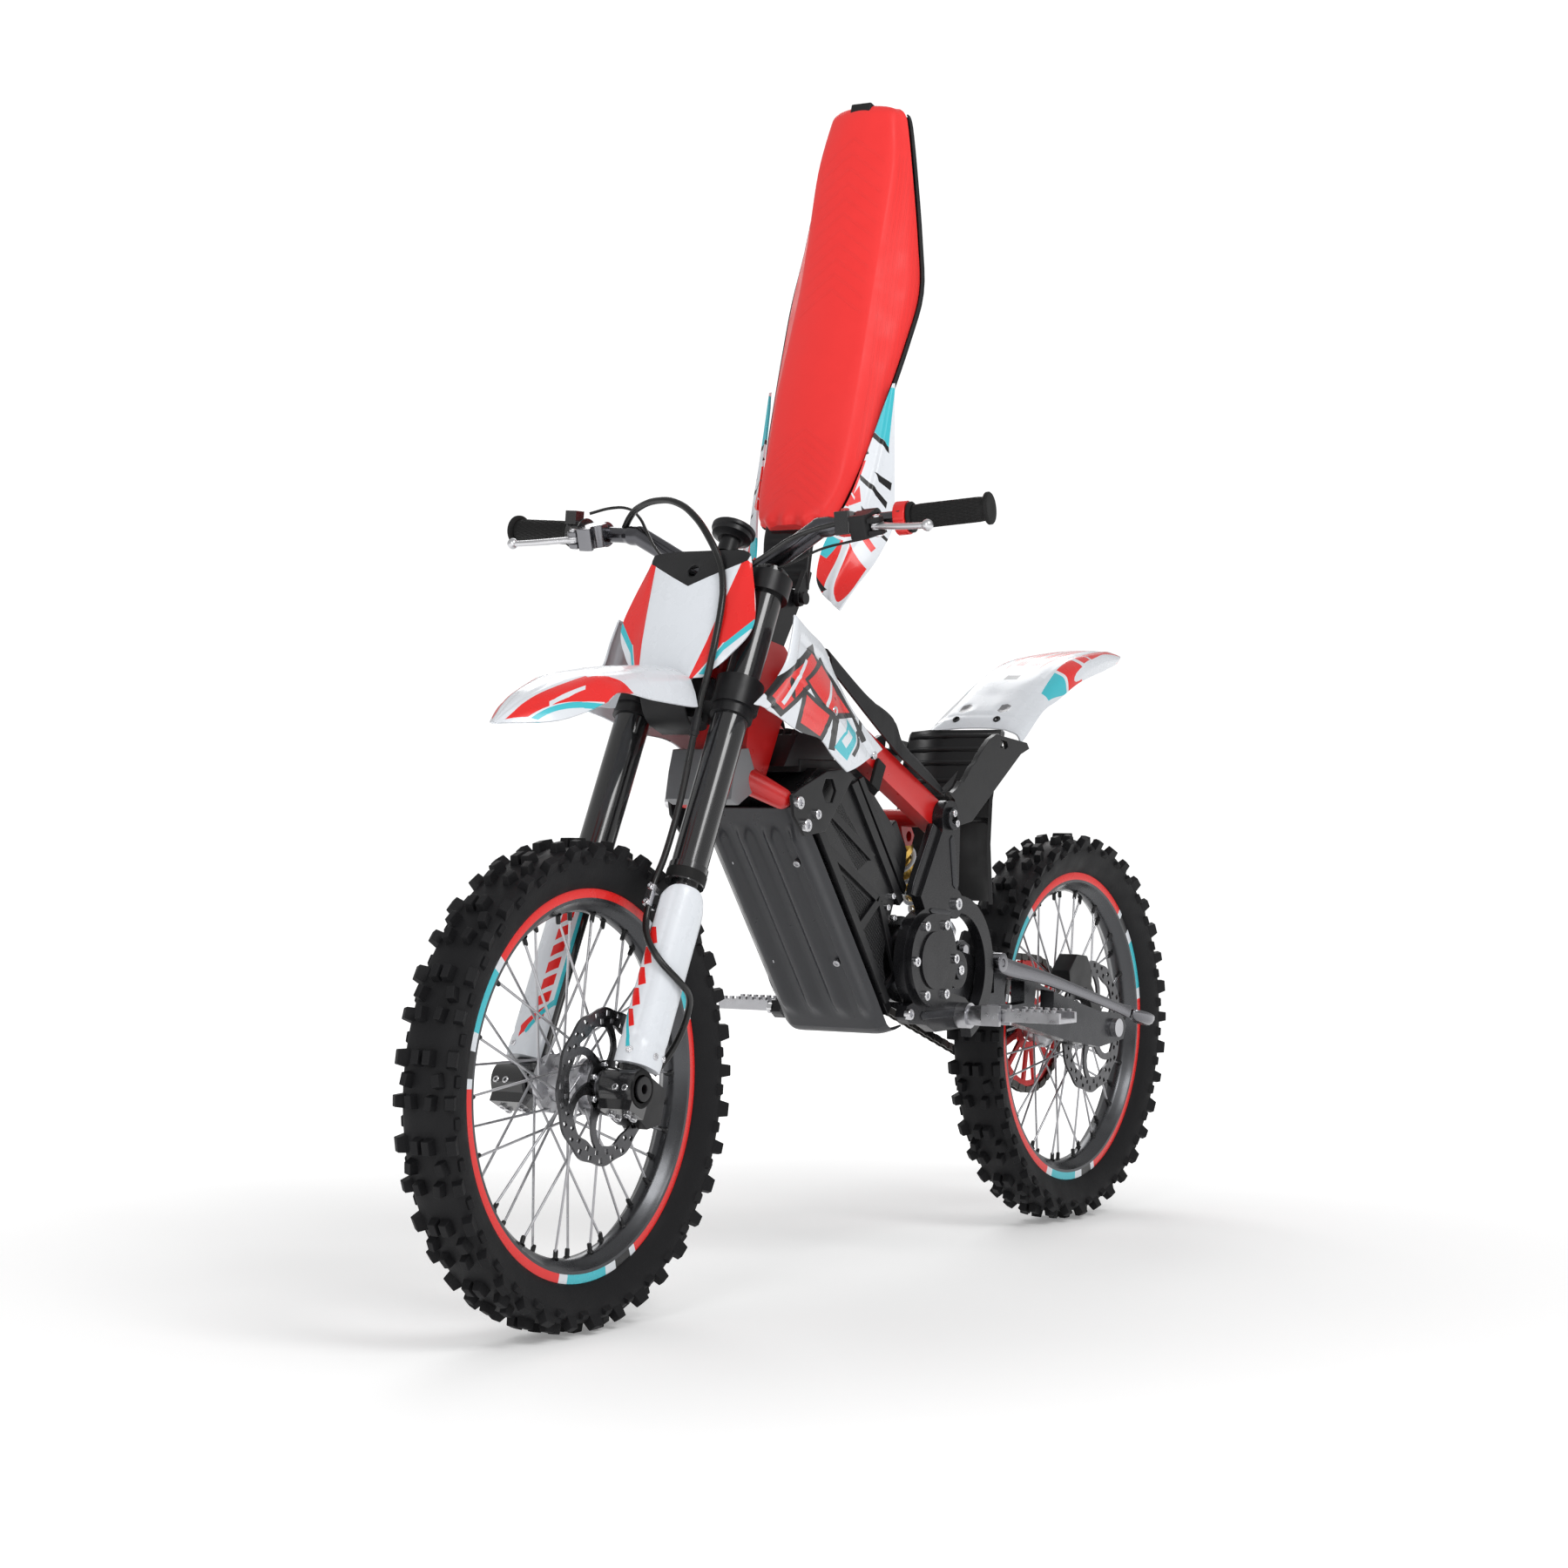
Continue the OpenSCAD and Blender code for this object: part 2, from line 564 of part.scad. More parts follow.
// One perch: bar clamp, body reaching forward, and two ears for the lever
lever_pin = [34, 96];
module perch() difference() {
  union() {
    ycyl(18, 64, 86);
    translate([0, 56, -15]) cube([44, 30, 33]);
    for (z = [-12, 5]) translate([23, 85, z]) cube([21, 20, 7]);
  }
  ycyl(bar_r + 0.02, 40, 130);
}
module lever_perches() color([0.15, 0.15, 0.16]) {
  both_sides() control_pose() {
    perch();
    translate([lever_pin[0], lever_pin[1], -14]) cylinder(r = 4, h = 28);
  }
  bar_frame() {
    translate([12, 30, -8]) cube([26, 29, 20]);
    difference() {
      translate([-16, 26, -15]) cube([32, 24, 33]);
      ycyl(bar_r + 0.02, 20, 60);
      translate([0, 38, 12.6]) cylinder(r = 6.5, h = 10);
    }
  }
  mirror([0, 1, 0]) bar_frame() {
    translate([14, 38, -12]) cube([30, 21, 24]);
    difference() {
      union() {
        ycyl(22, 104, 128);
        translate([6, 104, 10]) cube([18, 24, 22]);
      }
      ycyl(bar_r + 0.02, 90, 130);
    }
  }
}

// Lever blade from its pivot out to a ball end, in the direction of its perch
module lever() difference() {
  union() {
    translate([lever_pin[0], lever_pin[1], -4.6]) cylinder(r = 9, h = 9.2);
    translate([0, 0, -4.5]) linear_extrude(height = 9) polygon([[26, 103], [38, 116], [54, 136], [64, 158],
      [70, 180], [79, 180], [74, 154], [64, 132], [52, 114], [43, 102], [42, 92], [34, 88], [26, 92]]);
    translate([74.5, 180, 0]) sphere(r = 8);
  }
  translate([lever_pin[0], lever_pin[1], -8]) cylinder(r = 4 + run, h = 16);
}
module left_lever() color("silver") control_pose() lever();
module right_lever() color("silver") mirror([0, 1, 0]) control_pose() lever();

module kill_button() color("red") bar_frame() translate([0, 38, 15]) cylinder(r = 6, h = 7);

// Routes of the hoses and cables, one point to a bend
brake_route = [[318, -186, 1058], [336, -160, 1080], [360, -126, 1091], [378, -84, 1096], [392, -44, 1090],
  [404, -8, 1070], [412, 22, 1038], [418, 44, 1002], [432, 58, 968], [445, 64, 941], [456, 66, 914],
  [469, 67, 881], [478, 66, 854], [490, 64, 822], [500, 63, 792], [507, 63, 773]];
lower_route = [[508, 63, 769], [530, 63, 704], [553, 63, 650], [575, 62, 606], [592, 59, 576],
  [608, 62, 548], [621, 66, 525], [636, 80, 502], [640, 102, 476], [624, 120, 450], [600, 119, 432],
  [584, 108, 410], [578, 92, 378], [584, 76, 348], [596, 62, 326]];
throttle_route = [[328, -236, 1088], [312, -210, 1096], [314, -180, 1094], [330, -150, 1080], [352, -120, 1054],
  [376, -90, 1030], [388, -64, 1012], [384, -40, 1000], [368, -24, 1004], [346, -16, 1014]];
switch_route = [[326, 250, 1045], [342, 232, 1036], [346, 200, 1030], [348, 160, 1022], [352, 120, 1006],
  [360, 80, 992], [362, 54, 984], [360, 40, 984]];
rear_hose_route = [[338, 176, 1056], [352, 150, 1048], [362, 120, 1036], [374, 92, 1016], [386, 70, 1000],
  [392, 48, 986], [394, 40, 960], [398, 40, 930], [412, 42, 890], [424, 44, 862]];

module front_brake_hose() color([0.06, 0.06, 0.06]) hose(brake_route, 4.2, 3, 10, [0, 0.2, 1]);
module front_hose_lower() color([0.06, 0.06, 0.06]) hose(lower_route, 4.2, 3, 10, [1, 0.3, 0]);
module control_cables() color([0.08, 0.08, 0.08]) {
  hose(throttle_route, 2.2, 3, 8, [0, 0.2, 1]);
  hose(switch_route, 1.8, 3, 8, [0, 0, 1]);
  hose(rear_hose_route, 3.4, 3, 8, [1, 0, 0.5]);
}

/* ---------- lower fork and wheels ---------- */

lug_in = 60;
lug_out = 110;
foot_r = 20;
module fork_lower_tubes() color([0.1, 0.1, 0.11]) fork_frame() both_sides() difference() {
  union() {
    translate([-axle_lead, fork_half, 24]) cylinder(r = inner_tube_r, h = 550 - 24);
    translate([-axle_lead, fork_half, -10]) cylinder(r = foot_r, h = 52);
    ycyl(25, lug_in, lug_out);
    translate([-20, lug_in, -34]) cube([34, lug_out - lug_in, 24]);
  }
  ycyl(axle_r + 0.02, lug_in - 5, lug_out + 5);
}

module fork_guards() color("white") fork_frame() both_sides() difference() {
  translate([-axle_lead, fork_half, 26]) cylinder(r = 36, h = 254);
  translate([-axle_lead, fork_half, 32]) cylinder(r = 33, h = 260);
  translate([-axle_lead, fork_half, 20]) cylinder(r = foot_r + 0.05, h = 20);
  translate([-axle_lead - 80, 20, 20]) cube([60, 120, 280]);
  translate([-90, 20, 20]) cube([200, 50.2, 280]);
}

module front_caliper() color([0.1, 0.1, 0.11]) front_wheel() difference() {
  union() {
    side_extrude(32, 69) polygon([[-116, -12], [-104, -56], [-72, -60], [-52, -44], [-58, -6], [-84, 6]]);
    side_extrude(62, 69) polygon([[-60, -46], [-60, -8], [-24, 4], [-14, -26]]);
  }
  side_extrude(45.5, 54.5) circle(r = 110, $fn = 96);
}

module front_axle() color("silver") front_wheel() difference() {
  union() {
    ycyl(axle_r, -112, 112);
    both_sides() ycyl(16, 110.2, 114);
  }
  ycyl(6, -120, 120);
}

tyre_profile = [[238, 20.6], [251, 21.4], [254, 27], [266, 34], [285, 38.5], [300, 42.5], [308, 41.5],
  [316.5, 27]];
tyre_inner = [[300, 22], [296, 34], [284, 33.5], [268, 29.5], [256, 22], [246, 16.5], [238, 15.5]];
module tyre() rotate([90, 0, 0]) rotate_extrude($fn = 144) {
  grow = tyre_r - 316.5;
  half = [for (p = tyre_profile) [p[0] + grow, p[1]]];
  polygon(concat(half, [for (k = [len(half) - 1 : -1 : 0]) [half[k][0], -half[k][1]]],
    [for (k = [len(tyre_inner) - 1 : -1 : 0]) [tyre_inner[k][0], -tyre_inner[k][1]]], tyre_inner));
}

module rim() rotate([90, 0, 0]) rotate_extrude($fn = 144) {
  outer = [[rim_r, rim_half], [rim_r, rim_half - 1.8], [237.8, rim_half - 2.4], [235, 12], [227, 7]];
  inner = [[222, 8.5], [230, 15], [234, rim_half - 1], [240, rim_half]];
  polygon(concat(outer, [for (k = [len(outer) - 1 : -1 : 0]) [outer[k][0], -outer[k][1]]],
    [for (k = [len(inner) - 1 : -1 : 0]) [inner[k][0], -inner[k][1]]], inner));
}

flange_y = 30.5;
flange_r = 33;
module spokes() for (i = [0 : spoke_count - 1]) {
  side = i % 2 == 0 ? 1 : -1;
  lean = floor(i / 2) % 2 == 0 ? 1 : -1;
  a = i * 360 / spoke_count;
  hub_a = a + lean * 64;
  rod([flange_r * cos(hub_a), side * (flange_y + lean * 3.6), flange_r * sin(hub_a)],
      [222.4 * cos(a), side * 3.4, 222.4 * sin(a)], 1.7);
}

// Hub between its end faces, with two spoke flanges and a seat for each disc or sprocket
module hub(y_right, y_left, seat_right, seat_left) difference() {
  rotate([-90, 0, 0]) rotate_extrude($fn = 96) polygon([[axle_r + run, y_right], [16, y_right],
    [16, seat_right], [29, seat_right], [29, -34], [38, -34], [38, -27], [24, -21], [21, 0], [24, 21],
    [38, 27], [38, 34], [29, 34], [29, seat_left], [16, seat_left], [16, y_left], [axle_r + run, y_left]]);
}

// Brake disc: braking ring, six arms and a mounting ring
module disc(r, half) {
  difference() {
    ycyl(r, -half, half);
    ycyl(r - 23, -half - 1, half + 1);
  }
  difference() {
    ycyl(44, -half, half);
    ycyl(22, -half - 1, half + 1);
  }
  for (a = [0 : 60 : 300]) rotate([0, a, 0]) translate([42, -half, -7]) cube([r - 62, 2 * half, 14]);
}

module front_tyre() color([0.06, 0.06, 0.06]) front_wheel() tyre();
module front_rim() color([0.3, 0.3, 0.32]) front_wheel() rim();
module front_hub_spokes() color("silver") front_wheel() {
  hub(-58, 58, -38, 47.8);
  spokes();
}
module front_disc() color([0.2, 0.2, 0.2]) front_wheel() translate([0, 50, 0]) disc(front_disc_r, 2);

module rear_tyre() color([0.06, 0.06, 0.06]) rear_wheel() tyre();
module rear_rim() color([0.3, 0.3, 0.32]) rear_wheel() rim();
module rear_hub_spokes() color("silver") rear_wheel() {
  hub(-70, 70, -57, 52.8);
  spokes();
}
module rear_disc() color([0.2, 0.2, 0.2]) rear_wheel() translate([0, 55, 0]) disc(rear_disc_r, 2);

// Sprocket outline with one roller seat to a tooth
module sprocket_2d(teeth, pitch_r, roller_r) difference() {
  circle(r = pitch_r + 3.2, $fn = 180);
  for (k = [0 : teeth - 1]) rotate(k * 360 / teeth) translate([pitch_r, 0]) circle(r = roller_r, $fn = 16);
}
module sprocket() color("firebrick") rear_wheel() side_extrude(chain_y - 2.5, chain_y + 2.5) difference() {
  sprocket_2d(sprocket_teeth, sprocket_r, 4.4);
  circle(r = 22);
  for (a = [0 : 60 : 300]) rotate(a + 30) polygon([[44, -8], [88, -34], [92, 0], [88, 34], [44, 8]]);
}

module motor_sprocket() color("silver") at_xz(motor_c) side_extrude(chain_y - 2.5, chain_y + 2.5) difference() {
  sprocket_2d(pinion_teeth, pinion_r, 4.4);
  circle(r = 10 + run);
}

/* ---------- swingarm and chain ---------- */

arm_in = 72;
arm_out = 96;
module swingarm() color([0.12, 0.12, 0.13]) difference() {
  union() {
    both_sides() side_extrude(arm_in, arm_out) difference() {
      polygon([[-128, 468], [-150, 464], [-300, 433], [-520, 374], [-640, 346], [-722, 338], [-738, 318],
        [-728, 296], [-640, 288], [-520, 306], [-300, 352], [-150, 396], [-128, 400], [-110, 408], [-100, 434],
        [-110, 460]]);
      for (x = [-240, -340, -440]) translate([x, 434 + (x + 128) * 0.208]) polygon([[-36, -18], [24, -20],
        [30, 0], [24, 24], [-36, 16]]);
    }
    at_xz(pivot) ycyl(22, -arm_out, arm_out);
    side_extrude(-arm_in - 4, arm_in + 4) polygon([[-282, 428], [-330, 418], [-330, 384], [-282, 390]]);
    both_sides() side_extrude(22, 30) polygon([[-284, 420], [-322, 412], [-318, 462], [-300, 470], [-286, 462]]);
    side_extrude(arm_out - 1, 104) translate(stand_pivot) circle(r = 17);
  }
  at_xz(pivot) ycyl(9 + run, -110, 110);
  translate([rear_x, 0, tyre_r]) ycyl(axle_r + 0.02, -110, 110);
  at_xz(shock_low) ycyl(8.02, -34, 34);
}

module rear_caliper() color([0.08, 0.08, 0.09]) rear_wheel() difference() {
  union() {
    side_extrude(38, 71) polygon([[30, 74], [52, 66], [108, 72], [112, 96], [84, 122], [48, 118], [34, 100]]);
    side_extrude(62, 71) polygon([[40, 80], [56, 76], [22, 17], [-8, 19], [-6, 28]]);
  }
  side_extrude(50.5, 59.5) circle(r = 116, $fn = 96);
}

module rear_axle() color("silver") {
  rear_wheel() {
    ycyl(axle_r, -104, 104);
    both_sides() ycyl(15, arm_out + 0.1, 106);
    both_sides() ycyl(13, 70.3, arm_in - 0.2);
  }
  at_xz(shock_low) ycyl(8, -34, 34);
}

// Chain as two runs of side plates joined by pins between the sprockets
module chain_band(y0) side_extrude(y0, y0 + 1.8) difference() {
  wrap_2d(motor_c, pinion_r + 6, [rear_x, tyre_r], sprocket_r + 6);
  wrap_2d(motor_c, pinion_r - 5.5, [rear_x, tyre_r], sprocket_r - 5.5);
}
module chain() color([0.22, 0.22, 0.22]) {
  for (y0 = [chain_y - 5.6, chain_y + 3.8]) chain_band(y0);
  a = motor_c;
  b = [rear_x, tyre_r];
  d = b - a;
  base = atan2(d[1], d[0]);
  for (s = [-1, 1]) {
    turn = s * acos((pinion_r - sprocket_r) / norm(d));
    p = a + pinion_r * [cos(base + turn), sin(base + turn)];
    q = b + sprocket_r * [cos(base + turn), sin(base + turn)];
    for (k = [4 : 44]) at_xz(p + (q - p) * (k / 49)) ycyl(3.4, chain_y - 5, chain_y + 5);
  }
}

module kickstand() color([0.3, 0.3, 0.31]) difference() {
  union() {
    at_xz(stand_pivot) ycyl(15, 104.5, 122);
    hull() {
      translate([stand_pivot[0] - 8, 113, stand_pivot[1] - 4]) cube([18, 15, 24], center = true);
      translate([-600, 162, 352]) cube([14, 11, 18], center = true);
    }
    hull() {
      translate([-596, 160, 352]) cube([10, 10, 18], center = true);
      translate([-640, 172, 338]) rotate([0, -14, 0]) scale([1, 0.5, 1]) cylinder(r = 34, h = 6, center = true);
    }
  }
  at_xz(stand_pivot) ycyl(6.05, 100, 126);
}

// Folding peg: pivot eye between the bracket's ears and a toothed platform
module footpeg() color("silver") difference() {
  union() {
    translate([-145.6, peg_pivot_y - 9, 360]) cube([23.2, 32, 18]);
    translate([-162, peg_pivot_y + 18, 362]) cube([56, 90, 7]);
    for (x = [-162, -112]) translate([x, peg_pivot_y + 18, 362]) cube([6, 90, 16]);
    for (x = [-162, -112], k = [0 : 6]) translate([x, peg_pivot_y + 22 + 12 * k, 376]) cube([6, 6, 6]);
  }
  translate([-170, peg_pivot_y, 369]) rotate([0, 90, 0]) cylinder(r = 5.05, h = 80);
}
module left_footpeg() footpeg();
module right_footpeg() mirror([0, 1, 0]) footpeg();

/* ---------- shock ---------- */

shock_v = shock_low - shock_top;
shock_len = norm(shock_v);
shock_tilt = atan2(-shock_v[0], -shock_v[1]);

// Frame of the shock: origin at its top pivot, +Z down to the swingarm
module shock_frame() at_xz(shock_top) rotate([0, 180 + shock_tilt, 0]) children();

module shock_body() color("goldenrod") shock_frame() difference() {
  union() {
    ycyl(14, -26, 26);
    translate([0, 0, 8]) cylinder(r = 17, h = 142);
    translate([0, 0, 24]) cylinder(r = 27, h = 10);
  }
  ycyl(8 + run, -30, 30);
  translate([0, 0, 60]) cylinder(r = 7 + run, h = 100);
}

module shock_rod() color("silver") shock_frame() difference() {
  union() {
    translate([0, 0, 104]) cylinder(r = 7, h = shock_len - 118);
    translate([0, 0, shock_len]) ycyl(15, -20, 20);
    translate([0, 0, shock_len - 40]) cylinder(r = 27, h = 8);
    translate([0, 0, shock_len - 34]) cylinder(r = 12, h = 24);
  }
  translate([0, 0, shock_len]) ycyl(9.6, -24, 24);
}

// Coil of the shock, a plain ring of its outer shape
module shock_spring() color("white") shock_frame() translate([0, 0, 35]) difference() {
  cylinder(r = 26, h = shock_len - 40 - 36);
  translate([0, 0, -1]) cylinder(r = 19, h = shock_len);
}

/* ---------- seat, drawn closed and turned up about its hinge ---------- */

// Each row: distance, half width and height of the top edge, then of the bottom edge
seat_rows = [[88, 34, 984, 44, 972], [68, 54, 984, 62, 954], [20, 57, 974, 74, 944],
  [-50, 59, 968, 88, 934], [-129, 60, 966, 99, 924], [-220, 58, 961, 110, 912], [-299, 56, 958, 115, 904],
  [-380, 56, 958, 100, 908], [-480, 56, 960, 80, 922], [-560, 55, 963, 64, 934], [-576, 50, 958, 58, 938]];

module seat_cushion() color([0.85, 0.15, 0.13]) seat_pose() panel(
  [for (q = seat_rows) full_row([[q[0], 0, q[2] + 4], [q[0], q[1] * 0.6, q[2] + 3], [q[0], q[1], q[2]],
    [q[0], (q[1] + q[3]) / 2 + 2, (q[2] + q[4]) / 2 + 3], [q[0], q[3], q[4]]])],
  [for (q = seat_rows) full_row([[q[0], 0, q[4] - 3], [q[0], q[1] * 0.6, q[4] - 3], [q[0], q[1], q[4] - 3],
    [q[0], (q[1] + q[3]) / 2 + 2, q[4] - 3], [q[0], q[3] - 1, q[4] - 3]])]);

module seat_base() color([0.12, 0.12, 0.12]) seat_pose() difference() {
  union() {
    panel(
      [for (q = seat_rows) full_row([[q[0], 0, q[4] - 3.4], [q[0], q[3] * 0.6, q[4] - 3.4], [q[0], q[3] + 2, q[4] - 3.4]])],
      [for (q = seat_rows) full_row([[q[0], 0, q[4] - 12], [q[0], q[3] * 0.6, q[4] - 12], [q[0], q[3], q[4] - 11]])]);
    panel(
      [full_row([[88, 0, 972], [88, 40, 972]]), full_row([[130, 0, 970], [130, 38, 970]]),
       full_row([[178, 0, 960], [178, 36, 960]])],
      [full_row([[88, 0, 960], [88, 40, 960]]), full_row([[130, 0, 962], [130, 38, 962]]),
       full_row([[176, 0, 952], [176, 36, 952]])]);
    both_sides() {
      side_extrude(27, 36) polygon([[150, 966], [150, 950], [190, 954], [206, 960], [206, 974], [190, 978]]);
    }
  }
  at_xz(hinge) ycyl(6 + run, -44, 44);
}

seat_wing = [
  [[-144, 103, 925], [-145, 104, 923], [-146, 105, 921]],
  [[-50, 90, 936], [-48, 104, 924], [-46, 117, 908]],
  [[30, 79, 948], [30, 100, 930], [26, 124, 898]],
  [[74, 68, 958], [72, 96, 934], [57, 127, 893]],
  [[120, 56, 966], [122, 84, 948], [118, 119, 916]],
  [[170, 54, 966], [174, 74, 956], [172, 108, 946]],
  [[200, 52, 962], [206, 72, 962], [213, 100, 966]]];
module seat_shrouds() color("white") seat_pose() both_sides() panel(seat_wing, shift(seat_wing, [0, -2, -3.5]));

/* ---------- drawing ---------- */

main_frame();
top_covers();
side_plates();
battery_case();
battery_pack();
controller();
bash_plate();
pivot_plates();
motor();
motor_covers();
frame_bolts();
subframe();
rear_fender();
side_shrouds();
splash_guard();
steering_bearings();
seat_hinge();
footpeg_brackets();
fork_clamps();
fork_upper_tubes();
handlebar();
number_plate();
front_fender();
display();
left_grip();
lever_perches();
front_brake_hose();
front_hose_lower();
control_cables();
throttle_grip();
left_lever();
right_lever();
kill_button();
fork_lower_tubes();
fork_guards();
front_caliper();
front_axle();
front_tyre();
front_rim();
front_hub_spokes();
front_disc();
swingarm();
rear_caliper();
rear_axle();
chain();
rear_tyre();
rear_rim();
rear_hub_spokes();
rear_disc();
sprocket();
seat_cushion();
seat_base();
seat_shrouds();
motor_sprocket();
kickstand();
left_footpeg();
right_footpeg();
shock_body();
shock_rod();
shock_spring();
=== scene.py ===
"""Looks of a light electric dirt bike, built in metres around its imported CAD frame."""

import math

import bpy
from mathutils import Matrix, Vector


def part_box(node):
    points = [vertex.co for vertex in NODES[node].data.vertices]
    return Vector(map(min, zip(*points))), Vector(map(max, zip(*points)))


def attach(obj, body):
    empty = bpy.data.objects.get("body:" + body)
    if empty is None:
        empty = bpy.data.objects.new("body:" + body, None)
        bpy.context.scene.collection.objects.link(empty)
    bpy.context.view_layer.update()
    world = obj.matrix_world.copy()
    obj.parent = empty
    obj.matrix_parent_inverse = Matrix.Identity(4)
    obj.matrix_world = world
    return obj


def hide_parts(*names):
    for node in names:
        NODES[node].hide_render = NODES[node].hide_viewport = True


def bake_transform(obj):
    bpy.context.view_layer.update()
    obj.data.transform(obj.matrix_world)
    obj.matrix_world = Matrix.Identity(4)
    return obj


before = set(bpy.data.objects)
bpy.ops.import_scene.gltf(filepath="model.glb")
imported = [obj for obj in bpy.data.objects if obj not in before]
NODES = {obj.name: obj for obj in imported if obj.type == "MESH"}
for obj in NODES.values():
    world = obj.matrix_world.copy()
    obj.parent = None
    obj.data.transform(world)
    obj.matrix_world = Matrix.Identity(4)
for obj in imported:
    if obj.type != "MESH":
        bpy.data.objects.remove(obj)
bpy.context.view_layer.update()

MM = 0.001
RAKE = math.radians(26.4)
TURN = 2 * math.pi


def middle(node):
    low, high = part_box(node)
    return (low + high) / 2


FRONT = middle("front_tyre")
REAR = middle("rear_tyre")

# Matrices that take millimetres in a part's own directions to the bike's frame
ROW = Matrix.Scale(MM, 4)
FORK = Matrix.Translation(FRONT) @ Matrix.Rotation(-RAKE, 4, "Y") @ ROW
BAR = (Matrix.Translation(Vector((330, 148, 1053)) * MM) @ Matrix.Rotation(math.radians(9.04), 4, "Z")
       @ Matrix.Rotation(math.radians(4.6), 4, "X") @ ROW)
HINGE = Vector((195, 0, 968)) * MM
SEAT = (Matrix.Translation(HINGE) @ Matrix.Rotation(math.radians(74), 4, "Y")
        @ Matrix.Translation(-HINGE) @ ROW)
CONTROL = BAR @ Matrix.Rotation(math.radians(17), 4, "Y")
MIRROR = Matrix.Scale(-1, 4, (0, 1, 0))
TO_Y = Matrix.Rotation(-math.pi / 2, 4, "X")
SWAP_YZ = Matrix(((1, 0, 0, 0), (0, 0, 1, 0), (0, 1, 0, 0), (0, 0, 0, 1)))
FRONT_WHEEL = Matrix.Translation(FRONT) @ TO_Y @ ROW
REAR_WHEEL = Matrix.Translation(REAR) @ TO_Y @ ROW
DIAL = Matrix.Translation((0.315, 0, 1.058)) @ Matrix.Rotation(math.radians(-30), 4, "Y")

# Places shared by several pieces, in millimetres
LEG_X, LEG_Y = -11, 79
MOTOR = Vector((-40, 452))
STAND_X, STAND_Z = -258, 440
CAST_FACE = 115
CASE_WALL = 87
SPOKES = 36
SPROCKET_RADIUS, MOTOR_SPROCKET_RADIUS = 109.2, 26.54
CHAIN_Y = -60
LINK_PITCH = 12.7

SIDES = ((1, "left"), (-1, "right"))


def side(s, matrix=ROW):
    """The matrix for the left side, s 1, or its mirror image, s -1."""
    return matrix if s > 0 else MIRROR @ matrix


def angles(count):
    """Equal steps of one full turn."""
    return [TURN * k / count for k in range(count)]


def polar(radius, angle):
    return radius * math.cos(angle), radius * math.sin(angle)


def blunt(value, power):
    """A sine or cosine flattened towards 1, which makes a circle squarish."""
    return math.copysign(abs(value) ** power, value)


# ---------- camera, floor and light ----------

def add_camera():
    """A long lens low in front of the bike's left side."""
    place = (4.0433, 2.4011, 0.681)
    yaw, pitch, roll = math.radians(-148.14), math.radians(0.32), math.radians(0.42)
    forward = Vector((math.cos(pitch) * math.cos(yaw), math.cos(pitch) * math.sin(yaw), math.sin(pitch)))
    level = forward.cross(Vector((0, 0, 1))).normalized()
    upright = level.cross(forward)
    right = math.cos(roll) * level + math.sin(roll) * upright
    up = -math.sin(roll) * level + math.cos(roll) * upright
    data = bpy.data.cameras.new("camera")
    data.lens, data.sensor_width, data.sensor_fit = 73.61, 36, "HORIZONTAL"
    camera = bpy.data.objects.new("camera", data)
    bpy.context.scene.collection.objects.link(camera)
    turn = Matrix((right, up, -forward)).transposed()
    camera.matrix_world = Matrix.Translation(place) @ turn.to_4x4()
    bpy.context.scene.camera = camera


def add_light(name, place, target, size, power):
    data = bpy.data.lights.new(name, "AREA")
    data.shape, data.size, data.size_y, data.energy = "RECTANGLE", size[0], size[1], power
    light = bpy.data.objects.new(name, data)
    bpy.context.scene.collection.objects.link(light)
    light.location = place
    light.rotation_euler = (Vector(target) - Vector(place)).to_track_quat("-Z", "Y").to_euler()


def add_studio():
    """A white room, whose paper floor brightens away from the bike, and three soft lights."""
    bpy.context.scene.view_settings.view_transform = "Standard"
    world = bpy.data.worlds.new("studio")
    bpy.context.scene.world = world
    world.use_nodes = True
    tree = world.node_tree
    background = tree.nodes["Background"]
    background.inputs["Color"].default_value = (1, 1, 1, 1)
    rays = tree.nodes.new("ShaderNodeLightPath")
    strength = tree.nodes.new("ShaderNodeMapRange")
    strength.inputs["To Min"].default_value, strength.inputs["To Max"].default_value = 0.5, 1.1
    tree.links.new(rays.outputs["Is Camera Ray"], strength.inputs["Value"])
    tree.links.new(strength.outputs["Result"], background.inputs["Strength"])

    bpy.ops.mesh.primitive_plane_add(size=60, location=(0, 0, -0.0005))
    floor = bpy.context.object
    floor.name = "floor"
    paper = bpy.data.materials.new("floor_paper")
    paper.use_nodes = True
    tree = paper.node_tree
    shader = tree.nodes["Principled BSDF"]
    shader.inputs["Base Color"].default_value = (0.9, 0.9, 0.9, 1)
    shader.inputs["Roughness"].default_value = 0.9
    shader.inputs["Emission Color"].default_value = (1, 1, 1, 1)
    where = tree.nodes.new("ShaderNodeTexCoord")
    reach = tree.nodes.new("ShaderNodeVectorMath")
    reach.operation = "LENGTH"
    glow = tree.nodes.new("ShaderNodeMapRange")
    glow.interpolation_type = "SMOOTHSTEP"
    for name, value in (("From Min", 0.6), ("From Max", 3.2), ("To Min", 0.2), ("To Max", 0.62)):
        glow.inputs[name].default_value = value
    tree.links.new(where.outputs["Object"], reach.inputs[0])
    tree.links.new(reach.outputs["Value"], glow.inputs["Value"])
    tree.links.new(glow.outputs["Result"], shader.inputs["Emission Strength"])
    floor.data.materials.append(paper)

    add_light("key", (1.8, 4.0, 4.6), (0.1, 0, 0.6), (2.2, 2.2), 105)
    add_light("front", (5.0, 1.0, 2.4), (0.4, 0, 0.7), (1.4, 2.6), 50)
    add_light("back", (-3.5, -2.5, 3.5), (-0.3, 0, 0.7), (2.5, 2.5), 60)


# ---------- materials ----------

